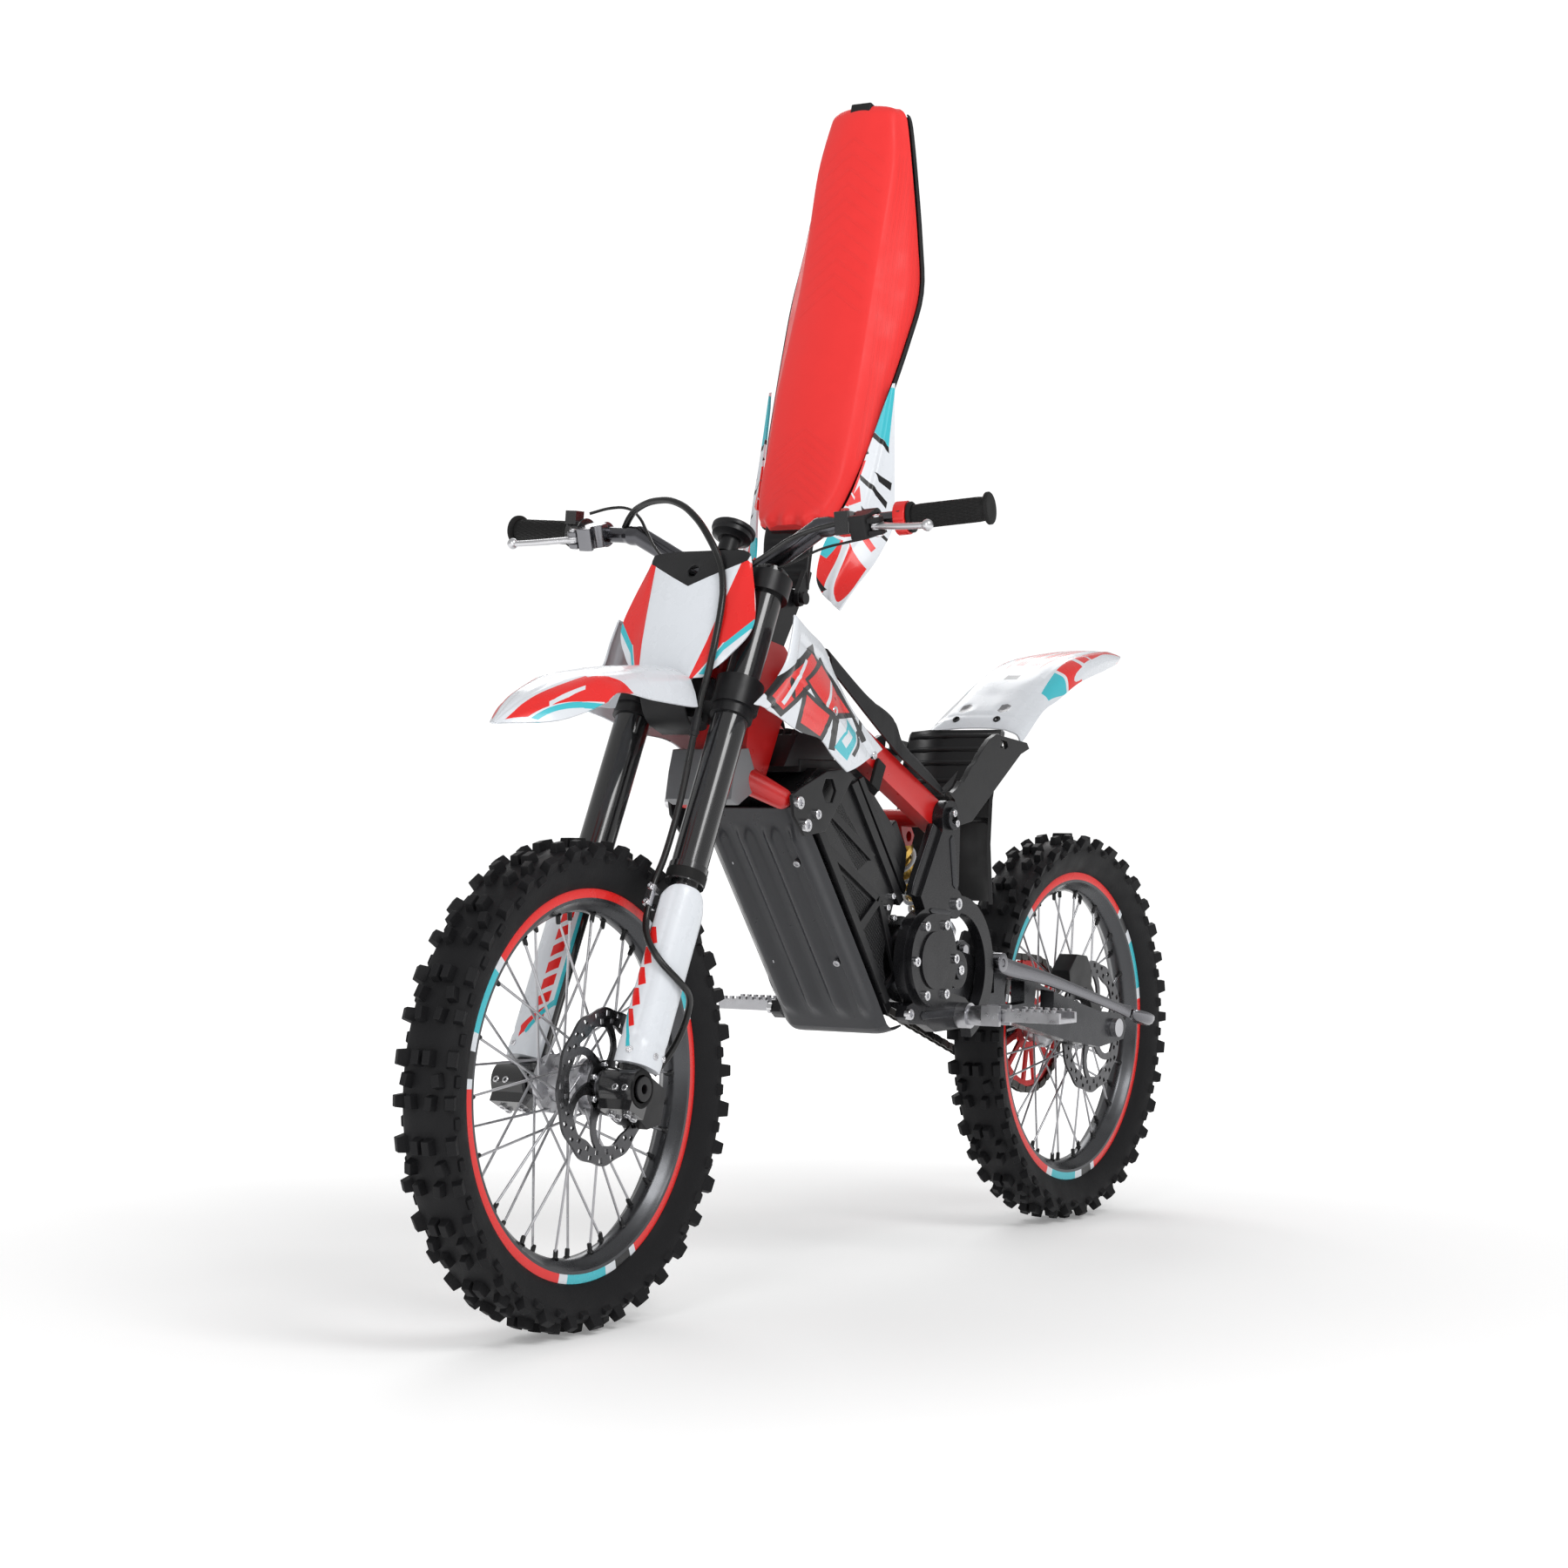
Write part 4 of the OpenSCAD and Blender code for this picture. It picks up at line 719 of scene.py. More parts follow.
def add_sprocket(name, body, place, replaces):
    """A red toothed ring with windows, bolted to the hub's carrier."""
    teeth, pitch = 54, SPROCKET_RADIUS
    wheel = Shape(place @ Matrix.Translation((0, 0, CHAIN_Y)))
    outline, inner = [], []
    for i in range(teeth):
        for part, r in ((0.0, pitch - 4.2), (0.22, pitch - 2.6), (0.4, pitch + 3.4), (0.6, pitch + 3.4),
                        (0.78, pitch - 2.6)):
            a = TURN * (i + part) / teeth
            outline.append(polar(r, a))
            inner.append(polar(94, a))
    for z, flip in ((2.4, False), (-2.4, True)):
        rows = [[(x, y, z) for x, y in inner], [(x, y, z) for x, y in outline]]
        wheel.grid(rows[::-1] if flip else rows, close=True)
    wheel.grid([[(x, y, 2.4) for x, y in outline], [(x, y, -2.4) for x, y in outline]], close=True)
    wheel.grid([[(x, y, -2.4) for x, y in inner], [(x, y, 2.4) for x, y in inner]], close=True)
    for i in range(6):
        for lean in (-1, 1):
            spin = Matrix.Rotation(TURN * (i + 0.5) / 6, 4, "Z") @ Matrix.Rotation(lean * 0.2, 4, "Z")
            wheel.block((34, -5, -2.2), (96, 5, 2.2), spin)
    wheel.lathe([(46, -2.3), (46, 2.3), (30, 2.3), (30, -2.3)], 60, closed=True)
    for i in range(6):
        wheel.bolt((*polar(38, TURN * (i + 0.5) / 6), -2.3), 5, 4, 1, direction=(0, 0, -1))
    wheel.make(name, body, ["sprocket_red", "bright"], "sprocket_red", replaces, bevel=0.4)


def add_wheels():
    for name, body, place, centre, start in (("front", "front_wheel", FRONT_WHEEL, FRONT, 0.355),
                                             ("rear", "rear_wheel", REAR_WHEEL, REAR, 0.33)):
        add_tyre(name + "_knobbly_tyre", body, place, [name + "_tyre"])
        add_rim(name, body, place, centre, start, [name + "_rim"])
        dress(name + "_hub_spokes", "machined", 0.5)
    add_disc("front_petal_disc", "front_wheel", FRONT_WHEEL, 101.5, 50, ["front_disc"])
    add_disc("rear_petal_disc", "rear_wheel", REAR_WHEEL, 108, 55, ["rear_disc"])
    add_sprocket("rear_sprocket", "rear_wheel", REAR_WHEEL, ["sprocket"])


# ---------- sheets ----------

def catmull(rows, steps):
    """More rows on a smooth curve through the given ones."""
    out = []
    last = len(rows) - 1
    for i in range(last):
        four = list(zip(rows[max(i - 1, 0)], rows[i], rows[i + 1], rows[min(i + 2, last)]))
        for s in range(steps):
            t = s / steps
            out.append([0.5 * (2 * b + t * (c - a) + t * t * (2 * a - 5 * b + 4 * c - d)
                               + t ** 3 * (3 * b - a - 3 * c + d)) for a, b, c, d in four])
    out.append(list(rows[-1]))
    return out


def refine(rows, along, across):
    """A finer sheet through the points of a coarse one."""
    rows = catmull([[Vector(p) for p in row] for row in rows], along)
    turned = catmull([list(column) for column in zip(*rows)], across)
    return [list(column) for column in zip(*turned)]


def raised(rows, height):
    """The sheet with each point moved along its normal by height(point), in millimetres."""
    n, m = len(rows), len(rows[0])
    out = []
    for i in range(n):
        row = []
        for j in range(m):
            along = rows[min(i + 1, n - 1)][j] - rows[max(i - 1, 0)][j]
            across = rows[i][min(j + 1, m - 1)] - rows[i][max(j - 1, 0)]
            normal = along.cross(across)
            normal = normal.normalized() if normal.length > 1e-6 else Vector((0, 0, 1))
            row.append(rows[i][j] + normal * height(rows[i][j]))
        out.append(row)
    return out


def rounded(distance, width, height):
    """Height of a rounded ridge at this distance from its middle."""
    t = min(1.0, abs(distance) / width)
    return height * (1 - t * t) ** 2


def off_segment(p, a, b):
    """Distance from point p to the segment from a to b, all in a plane."""
    p, a, b = Vector(p), Vector(a), Vector(b)
    t = max(0.0, min(1.0, (p - a).dot(b - a) / (b - a).length_squared))
    return (p - a - (b - a) * t).length


def mirrored(halves):
    return [mirror_row(half) for half in halves]


# ---------- fork and front end ----------

def add_fork():
    dress("fork_upper_tubes", "gloss_black", 1.0)
    dress("fork_clamps", "satin_black", 1.6)
    dress("fork_lower_tubes", "gloss_black", 1.6)
    dress("front_axle", "satin_black", 0.8)
    dress("front_caliper", "satin_black", 2.4)
    dress("steering_bearings", "bright", 0.4)

    add_bolts("clamp_bolts", "steering", [((-52, s * 70, z), 5, 5, (-0.8, -0.6 * s, 0))
                                          for s in (-1, 1) for z in (556, 582, 728, 744)], FORK)
    trim = Shape(FORK)
    for s in (-1, 1):
        leg = Matrix.Translation((LEG_X, s * LEG_Y, 0))
        trim.lathe([(18.3, 292), (26.5, 292), (27.2, 294), (27.2, 306), (25.6, 309), (24.6, 312)], 48, 0, leg)
        trim.lathe([(0.1, 763), (12, 763), (13, 762), (13, 760.5), (21, 760), (23.6, 758.5), (24.6, 756)], 48, 1, leg)
        trim.lathe([(0.1, 764), (4, 764), (5, 763.4), (5, 762)], 24, 2, leg)
    trim.make("fork_caps", "steering", ["rubber", "anodised", "collar_red"], "fork_black", sharp=40)

    lug = Shape(FORK)
    for s in (-1, 1):
        lug.lathe([(13, 110), (18, 110), (20.5, 111.5), (24, 111.2), (25.4, 109.5)], 48, 0,
                  TO_Y @ MIRROR if s < 0 else TO_Y)
        for x in (-2, -16):
            lug.bolt((x, s * 98, -33), 5, 5, 1, direction=(0.2, 0, -1))
            lug.bolt((x - 3, s * 72, -33), 5, 5, 1, direction=(0.2, 0, -1))
        for y in (86, 101):
            lug.bolt((21, s * y, -8), 4.5, 5, 1, direction=(1, 0, 0))
    lug.make("fork_foot_trim", "fork_lower", ["satin_black", "bright"], "fork_black", sharp=40)


def guard_paint(s):
    """Slashes stepping down beside a thin line: on the front edge at the left, round the inside at the right."""
    paint = gloss_white("left_guard_print" if s > 0 else "right_guard_print")
    if s > 0:
        shapes = [(BRIGHT_RED, [(70, z), (80, z), (88, z - 22), (78, z - 26)]) for z in (214, 186, 157, 128, 99)]
        shapes.append((TEAL, [(69, 104), (73, 98), (90, 49), (85, 47)]))
    else:
        shapes = [(BRIGHT_RED, [(59, z + 10), (59, z - 6), (73, z - 18), (73, z - 2)]) for z in range(112, 272, 24)]
        shapes += [(BRIGHT_RED, [(60, 100), (60, 84), (86, 52), (88, 68)]),
                   (TEAL, [(49, 270), (54.5, 270), (54.5, 104), (49, 104)]),
                   (TEAL, [(49, 110), (54.5, 110), (80, 62), (76, 58)])]
    paint.print_shapes(shapes, FORK_FACE)
    return paint


def add_guards():
    """Half-round fork guards with a rounded top, creases, a stepped foot and their screws."""
    levels, columns = 43, 33
    for s, name, first in ((1, "left", -13.5), (-1, "right", -53)):
        sweep = 122.5 - first
        rows = []
        for k in range(levels + 1):
            row = []
            for j in range(columns + 1):
                t, u = k / levels, j / columns
                degrees = first + sweep * u
                top, foot = 279 - 26 * abs(2 * u - 0.9) ** 3.2, 27.5 + 3 * u
                z = foot + (top - foot) * t
                radius = 35.4 + rounded(z - 44, 24, 0.6) - (rounded(degrees - 22, 5, 0.9) if z > 62 else 0)
                radius -= rounded(degrees - 78, 5, 0.7) if 62 < z < 230 else 0
                radius -= rounded(z - 64, 5, 1.2)
                if 52 < degrees < 104:
                    radius -= sum(rounded(z + 0.12 * (degrees - 78) - crease, 3, 0.9) for crease in (176, 196, 216))
                radius -= 1.6 * (1 - min(1, min(u, 1 - u, (1 - t) * 1.4) / 0.05)) ** 2
                x, y = polar(radius, math.radians(degrees))
                row.append(Vector((LEG_X + x, LEG_Y + y, z)))
            rows.append(row)
        collar = []
        for j in range(columns + 1):
            x, y = polar(20.6, math.radians(first + sweep * j / columns))
            collar.append(Vector((LEG_X + x, LEG_Y + y, 30)))
        leg = side(s, FORK)
        add_sheet([collar] + rows, name + "_fork_guard", "fork_lower", guard_paint(s), "white_plastic", leg,
                  replaces=["fork_guards"] if s > 0 else [], thick=2.6, bevel=0.7, plain_back=True)
        spots = []
        for angle, z in ((20, 44), (78, 46), (108, 50)):
            way = (*polar(1, math.radians(angle)), 0)
            spots.append(((LEG_X + 35 * way[0], LEG_Y + 35 * way[1], z), 4.4, 3.0, way))
        add_bolts(name + "_guard_screws", "fork_lower", spots, leg)
    clip = Shape(FORK)
    clip.block((16, 57, 262), (34, 65, 270))
    clip.block((16, 57, 240), (34, 65, 248))
    clip.block((28, 57, 240), (36, 67, 270))
    for z in (244, 266):
        clip.bolt((36, 62, z), 4.4, 3.2, direction=(1, 0, 0))
    clip.make("hose_clip", "fork_lower", ["bright"], "bolt_steel", bevel=1.2)


PLATE_ROWS = [
    [(396, 0, 1022), (396, 40, 1022), (397, 72, 1019), (397, 78, 1016)],
    [(408, 0, 1000), (408, 40, 1000), (406, 74, 1000), (400, 84, 1000)],
    [(446, 0, 921), (446, 40, 921), (445, 62, 921), (431, 107, 921)],
    [(468, 0, 876), (468, 34, 876), (467, 52, 876), (456, 84, 876)],
    [(484, 0, 845), (484, 28, 845), (482, 44, 845), (472, 54, 846)]]

FENDER_FRONT = [
    [(863, 0, 779), (863, 2, 779), (862, 4, 778), (861, 6, 777)],
    [(802, 0, 816), (802, 20, 812), (800, 38, 800), (798, 52, 781)],
    [(728, 0, 840), (728, 28, 838), (727, 52, 828), (725, 70, 803)],
    [(690, 0, 848), (690, 30, 846), (688, 56, 838), (687, 71, 820)],
    [(612, 0, 857), (612, 32, 855), (612, 58, 842), (612, 71, 812)],
    [(530, 0, 860), (530, 32, 858), (530, 58, 842), (530, 70, 806)],
    [(494, 0, 858), (496, 30, 854), (500, 54, 840), (506, 68, 806)]]


def add_plate():
    paint = gloss_white("plate_print")
    paint.print_shapes([
        (BRIGHT_RED, [(71, 1012), (86, 1000), (108, 925), (75, 893), (52, 893)]),
        (BRIGHT_RED, [(52, 893), (75, 893), (56, 862), (44, 840), (40, 840)]),
        (TEAL, [(108, 926), (108, 914), (75, 882), (75, 893)]),
        (TEAL, [(75, 894), (75, 882), (58, 850), (51, 850)]),
        (INK, [(0, 972), (78, 1006), (84, 1030), (0, 1030)])], FACE)
    rows = raised(refine(mirrored(PLATE_ROWS), 9, 7), lambda p:
                  -rounded(off_segment((abs(p.y), p.z), (70, 1004), (64, 921)), 5, 1.2)
                  + rounded(off_segment((abs(p.y), p.z), (30, 985), (24, 860)), 3, 0.5))
    for row in rows:
        for p in row:
            p.x += 8 * max(0.0, 1 - (p.y / 72) ** 2) * min(1, (1022 - p.z) / 40)
    plate = Shape()
    plate.grid(rows)
    hole_z, hole = 0.993, 0.009
    for index, point in enumerate(plate.points):
        away = Vector((0, point.y, point.z - hole_z))
        if abs(away.length - hole) < 0.0034:
            away = away.normalized() * hole
            plate.points[index] = Vector((point.x, away.y, hole_z + away.z))
    keep = []
    for face in plate.faces:
        centre = sum((plate.points[i] for i in face), Vector()) / 4
        if Vector((centre.y, centre.z - hole_z)).length > hole - 0.0005:
            keep.append(face)
    plate.faces, plate.slots = keep, [0] * len(keep)
    plate.make("front_number_plate", "steering", [paint], "white_plastic", ["number_plate"], thick=3.2, offset=1.0,
               bevel=1.0, angle=50)
    stays = Shape()
    for s in (-1, 1):
        stays.rod((364, s * 24, 975), (414, s * 24, 986), 4)
    stays.make("plate_stays", "steering", ["satin_black"], "plate_black")


def add_front_fender():
    paint = gloss_white("fender_print")
    paint.print_shapes([
        (BRIGHT_RED, [(852, 10), (826, 30), (755, 57), (722, 70), (718, 36)]),
        (BRIGHT_RED, [(723, 71), (640, 73), (665, 62), (695, 50), (718, 36)]),
        (TEAL, [(826, 31), (755, 57), (755, 62), (820, 37)]),
        (TEAL, [(756, 57), (722, 71), (722, 76), (756, 62)]),
        (WHITE, [(800, 40), (740, 52), (735, 49), (795, 36)])], TOP)
    rows = raised(refine(mirrored(FENDER_FRONT), 8, 7), lambda p:
                  rounded(abs(p.y) - 15 * min(1, (868 - p.x) / 90), 3.5, 1.0)
                  + rounded(abs(p.y) - 57 * min(1, (868 - p.x) / 120), 5, 0.8))
    add_sheet(rows, "front_mudguard", "steering", paint, "white_plastic", replaces=["front_fender"], thick=3.0,
              bevel=0.9)
    # The fender's rear flap behind the fork is white plastic, drawn in grain black: painted shade under the fender.
    under = Shape()
    under.grid(refine([mirror_row([(x, 0, z), (x, 20, z), (x, y, low)]) for x, z, y, low in
                       ((500, 852, 34, 850), (480, 792, 34, 794), (444, 772, 30, 772))], 6, 4))
    under.make("fender_flap_painted_shade", "steering", ["grain_black"], "white_plastic", thick=4, offset=0, bevel=1)


# ---------- bar and controls ----------

def add_grip(s, name, body, start, replaced):
    """A soft grip: flanges, a diamond pattern and end rings."""
    end = 245.9
    grip = Shape(side(s, BAR) @ TO_Y)
    grip.lathe([(11.2, start), (20, start), (21, start + 1), (21, start + 4.4), (20, start + 5.5),
                (17, start + 6.5)], 60)
    rows = []
    length = 120
    for i in range(length + 1):
        row = []
        z = start + 6.5 + (end - 7 - start - 6.5) * i / length
        fade = min(1, 10 * min(i, length - i) / length)
        for a in angles(150):
            u, v = a * 15 / 2.4, z / 6.4 * 0.78
            cut = max(abs(((u + v) * 0.5) % 1 - 0.5), abs(((u - v) * 0.5) % 1 - 0.5))
            row.append((*polar(16 + 0.9 * fade * max(0.0, 1 - max(0.0, cut - 0.3) * 9), a), z))
        rows.append(row)
    grip.grid(rows, close=True)
    grip.lathe([(16.6, end - 7.2), (21, end - 6), (22, end - 5), (22, end - 1.4), (20.6, end), (10, end - 0.6),
                (0.1, end - 0.6)], 60)
    grip.make(name, body, ["rubber"], "grip_rubber", replaced, sharp=60)


def along_path(spots, i):
    """Direction of a path of points at its point i."""
    return spots[min(i + 1, len(spots) - 1)] - spots[max(i - 1, 0)]


def add_lever(s, name, body, replaced):
    """A forged lever: rounded blade, pivot boss and ball end."""
    path = [(34, 92, 8, 4.4), (38, 101, 7.6, 4.4), (47, 115, 6.4, 4.4), (58, 134, 5.6, 4.4), (67, 155, 5, 4.2),
            (73, 172, 4.6, 4.2), (74.5, 181, 4.4, 4.2)]
    stations = catmull([[Vector((a, b, 0)), Vector((c, d, 0))] for a, b, c, d in path], 5)
    spots = [at for at, size in stations]
    lever = Shape(side(s, CONTROL))
    rows = []
    for i, (at, size) in enumerate(stations):
        ahead = along_path(spots, i)
        across = Vector((ahead.y, -ahead.x, 0)).normalized()
        rows.append([at + across * size.x * blunt(math.cos(a), 0.8)
                     + Vector((0, 0, 1)) * size.y * blunt(math.sin(a), 0.8) for a in angles(20)])
    lever.grid(rows, close=True)
    lever.lathe([(4.05, 4.6), (8.2, 4.6), (9, 3.8), (9, -3.8), (8.2, -4.6), (4.05, -4.6)], 36, 0,
                Matrix.Translation((34, 96, 0)), closed=True)
    ball = [(8 * math.sin(math.pi * k / 16) + 0.01, 8 * math.cos(math.pi * k / 16)) for k in range(17)]
    lever.lathe(ball, 32, 0, Matrix.Translation((74.5, 180, 0)))
    lever.make(name, body, ["lever_alloy"], "lever_alloy", replaced, sharp=50)


def add_perch(s, name):
    """Bar clamp, wedge body with a rounded notch, lever ears, bolts, and the housing beside them."""
    body = "grain_black" if s > 0 else "grey_metal"
    perch = Shape(side(s, CONTROL))
    perch.lathe([(11.3, 64), (17.4, 64), (18, 65), (18, 85), (17.4, 86), (11.3, 86)], 40, 0, TO_Y, closed=True)
    notch = [(27 + 8 * math.cos(math.radians(a)), 57 + 8 * math.sin(math.radians(a))) for a in range(20, 161, 20)]
    outline = [(2, 58), (15, 57)] + notch[::-1] + [(40, 57), (43.5, 64), (43.5, 80), (38, 85.8), (10, 85.8), (2, 80)]
    perch.prism(outline, -14.6, 17.4, SWAP_YZ)
    for z in (-12, 5):
        ear = [(20, 84), (23, 97), (27, 103), (34, 105), (41, 102), (44, 96), (43, 84)]
        perch.prism(ear, z, z + 7, SWAP_YZ)
    perch.make(name + "_perch", "steering", [body], "control_black", ["lever_perches"] if s > 0 else [], bevel=2.2,
               segments=3)
    housing = Shape(side(s, BAR))
    if s > 0:
        housing.block((-16, 27, -15), (16, 49, 17.4))
    else:
        housing.lathe([(11.3, 104), (21, 104), (22, 105), (22, 114.6), (21.2, 115.4), (21.2, 116.6), (22, 117.4),
                       (22, 127), (21, 128), (11.3, 128)], 44, 0, TO_Y, closed=True)
        housing.block((6, 106, 12), (23, 127, 31))
    housing.make("switch_housing" if s > 0 else "throttle_housing", "steering", ["gloss_black"], "control_black",
                 bevel=1.6, segments=3)
    add_bolts(name + "_perch_bolts", "steering",
              [((-16, 75, -8), 4, 3.4, (-1, 0, 0)), ((-16, 75, 7), 4, 3.4, (-1, 0, 0)),
               ((34, 96, 11.6), 5.4, 3, (0, 0, 1)), ((34, 96, -11.6), 5.4, 3, (0, 0, -1))], side(s, CONTROL))


def add_controls():
    dress("handlebar", "anodised", 1.0)
    add_grip(1, "left_diamond_grip", "steering", 130.5, ["left_grip"])
    add_grip(-1, "right_diamond_grip", "throttle", 128.5, ["throttle_grip"])
    collar = Shape(BAR @ TO_Y)
    collar.lathe([(11.4, 113), (22, 113), (23, 114), (23, 129), (22, 130), (11.4, 130)], 60, closed=True)
    collar.make("grip_collar", "steering", ["collar_red"], "button_red", sharp=50)
    hole = Shape(BAR)
    hole.rod((19.6, 121.5, 9), (20.6, 121.5, 9.6), 3.6)
    hole.make("collar_hole", "steering", ["gloss_black"], "button_red")
    for s, name in SIDES:
        add_lever(s, name + "_forged_lever", name + "_lever", [name + "_lever"])
    for s, name in SIDES:
        add_perch(s, name)
    button = Shape(BAR)
    button.lathe([(0.1, 22), (4.6, 22), (5.8, 21), (6, 20), (6, 15)], 32, 0, Matrix.Translation((0, 38, 0)))
    button.make("kill_switch_button", "kill_button", ["button_red"], "button_red", ["kill_button"], sharp=50)

    gauge = Shape(DIAL @ ROW)
    gauge.lathe([(0.1, -20), (18, -20), (21, -17), (28, -14), (28.4, -8), (31, -6), (31, -0.8), (30.2, 0),
                 (27.6, 0), (26.8, -1.4)], 64)
    gauge.lathe([(26.9, -1.5), (0.1, -1.3)], 64, 1)
    gauge.lathe([(14, -42), (14, -18)], 32)
    gauge.make("round_display", "steering", ["satin_black", dial_paint()], "display_glass", ["display"],
               sharp=40)
    foot = Shape()
    foot.block((315, -20, 1018), (341, 20, 1028))
    foot.make("display_bracket", "steering", ["satin_black"], "display_glass", bevel=1.5)
    bars = Shape(FORK)
    for s in (-1, 1):
        bars.block((-47.5, s * 30 - 8.6, 767), (-10.5, s * 30 + 8.6, 785.6))
        for x in (-42, -16):
            bars.bolt((x, s * 30, 785.4), 4.6, 4, 1, direction=(0, 0, 1))
    bars.make("bar_clamp_caps", "steering", ["satin_black", "bright"], "plate_black", bevel=1.6)


def dial_paint():
    """Dark glass over a faint dial: an arc of ticks."""
    paint = Paint("dial", (0.008, 0.01, 0.014), rough=0.07, coat=1.0, rough_vary=0.02)
    offset = paint.offset(DIAL.translation)
    across = paint.dot(offset, DIAL.to_3x3() @ Vector((0, 1, 0)))
    along = paint.dot(offset, DIAL.to_3x3() @ Vector((1, 0, 0)))
    reach = paint.math("SQRT", paint.math("ADD", paint.math("MULTIPLY", across, across),
                                          paint.math("MULTIPLY", along, along)))
    turned = paint.math("DIVIDE", paint.math("ARCTAN2", across, along), TURN)
    ticks = paint.math("LESS_THAN", paint.math("FRACT", paint.math("MULTIPLY", turned, 48.0)), 0.35)
    paint.recolor(paint.math("MULTIPLY", ticks, paint.band(reach, 0.0205, 0.0235)), (0.35, 0.4, 0.42))
    return paint


BRAKE_ROUTE = [(318, -186, 1058), (336, -160, 1080), (360, -126, 1091), (378, -84, 1096), (392, -44, 1090),
               (404, -8, 1070), (412, 22, 1038), (418, 44, 1002), (432, 58, 968), (445, 64, 941), (456, 66, 914),
               (469, 67, 881), (478, 66, 854), (490, 64, 822), (500, 63, 792), (507, 63, 773)]
LOWER_ROUTE = [(508, 63, 769), (530, 63, 704), (553, 63, 650), (575, 62, 606), (592, 59, 576), (608, 62, 548),
               (621, 66, 525), (636, 80, 502), (640, 102, 476), (624, 120, 450), (600, 119, 432), (584, 108, 410),
               (578, 92, 378), (584, 76, 348), (596, 62, 326)]
THROTTLE_ROUTE = [(328, -236, 1088), (312, -210, 1096), (314, -180, 1094), (330, -150, 1080), (352, -120, 1054),
                  (376, -90, 1030), (388, -64, 1012), (384, -40, 1000), (368, -24, 1004), (346, -16, 1014)]
SWITCH_ROUTE = [(326, 250, 1045), (342, 232, 1036), (346, 200, 1030), (348, 160, 1022), (352, 120, 1006),
                (360, 80, 992), (362, 54, 984), (360, 40, 984)]
REAR_HOSE_ROUTE = [(338, 176, 1056), (352, 150, 1048), (362, 120, 1036), (374, 92, 1016), (386, 70, 1000),
                   (392, 48, 986), (394, 40, 960), (398, 40, 930), (412, 42, 890), (424, 44, 862)]


def add_hoses():
    add_hose("brake_hose_upper", BRAKE_ROUTE, 4.9, ["front_brake_hose"])
    add_hose("throttle_cable", THROTTLE_ROUTE, 2.2, ["control_cables"])
    add_hose("switch_cable", SWITCH_ROUTE, 1.8)
    add_hose("rear_hose", REAR_HOSE_ROUTE, 3.4)
    path = [p[0] for p in catmull([[Vector(p)] for p in LOWER_ROUTE], 6)]
    hose = Shape()
    rows, side_on = [], Vector((0, 1, 0))
    for i, at in enumerate(path):
        ahead = along_path(path, i).normalized()
        side_on = (side_on - ahead * side_on.dot(ahead)).normalized()
        other = ahead.cross(side_on)
        rows.append([at + 4.6 * (math.cos(a) * side_on + math.sin(a) * other) for a in angles(16)])
    hose.grid(rows, close=True)
    hose.make_blended("brake_hose_lower", "hose_rubber",
                      "front_hose_lower")
    ends = Shape()
    ends.rod(BRAKE_ROUTE[-2], BRAKE_ROUTE[-1], 6.4)
    ends.rod((503, 63, 785), (509, 63, 767), 5.6)
    ends.make("hose_union", "steering", ["satin_black"], "hose_black")


# ---------- bodywork ----------

SHROUD = [
    [(387, 145, 933), (401, 149, 901), (417, 150, 868), (452, 150, 836), (494, 150, 810)],
    [(340, 133, 918), (350, 139, 888), (360, 144, 852), (385, 146, 818), (430, 143, 796)],
    [(262, 112, 896), (292, 126, 872), (310, 138, 838), (330, 139, 806), (360, 136, 776)],
    [(225, 108, 858), (246, 122, 838), (262, 136, 806), (275, 134, 784), (290, 127, 766)],
    [(170, 108, 807), (194, 118, 792), (212, 128, 776), (228, 124, 760), (244, 120, 744)],
    [(88, 107, 758), (116, 110, 748), (142, 114, 740), (170, 115, 730), (197, 115, 723)]]

SEAT_WING = [
    [(-144, 103, 925), (-145, 104, 923), (-146, 105, 921)],
    [(-50, 90, 936), (-48, 102, 922), (-46, 113, 905)],
    [(30, 79, 948), (30, 98, 927), (26, 119, 894)],
    [(74, 68, 958), (72, 94, 931), (57, 121, 889)],
    [(120, 56, 966), (122, 84, 948), (118, 119, 916)],
    [(164, 54, 966), (172, 76, 956), (172, 108, 946)],
    [(188, 66, 962), (202, 84, 962), (213, 100, 966)]]

COVER_LINE = [(212, 896, 86, 866), (112, 836, 90, 800), (42, 806, 92, 756), (15, 771, 94, 740),
              (-60, 730, 95, 706), (-98, 707, 96, 691)]

BASH_LINE = [(288, 672), (263, 640), (222, 588), (108, 440), (52, 366), (40, 352), (24, 346), (2, 350)]

FENDER_REAR = [
    [(-380, 0, 800), (-380, 45, 798), (-376, 78, 790), (-372, 90, 775)],
    [(-398, 0, 819), (-398, 46, 817), (-400, 77, 806), (-395, 89, 789)],
    [(-450, 0, 850), (-450, 46, 848), (-455, 74, 838), (-452, 86, 826)],
    [(-511, 0, 883), (-511, 44, 882), (-520, 72, 872), (-516, 80, 846)],
    [(-600, 0, 916), (-600, 42, 915), (-604, 72, 903), (-600, 74, 876)],
    [(-720, 0, 934), (-720, 40, 932), (-715, 64, 922), (-705, 62, 898)],
    [(-800, 0, 937), (-795, 34, 934), (-790, 52, 926), (-785, 50, 914)],
    [(-868, 0, 934), (-855, 20, 932), (-840, 32, 929), (-835, 30, 925)]]


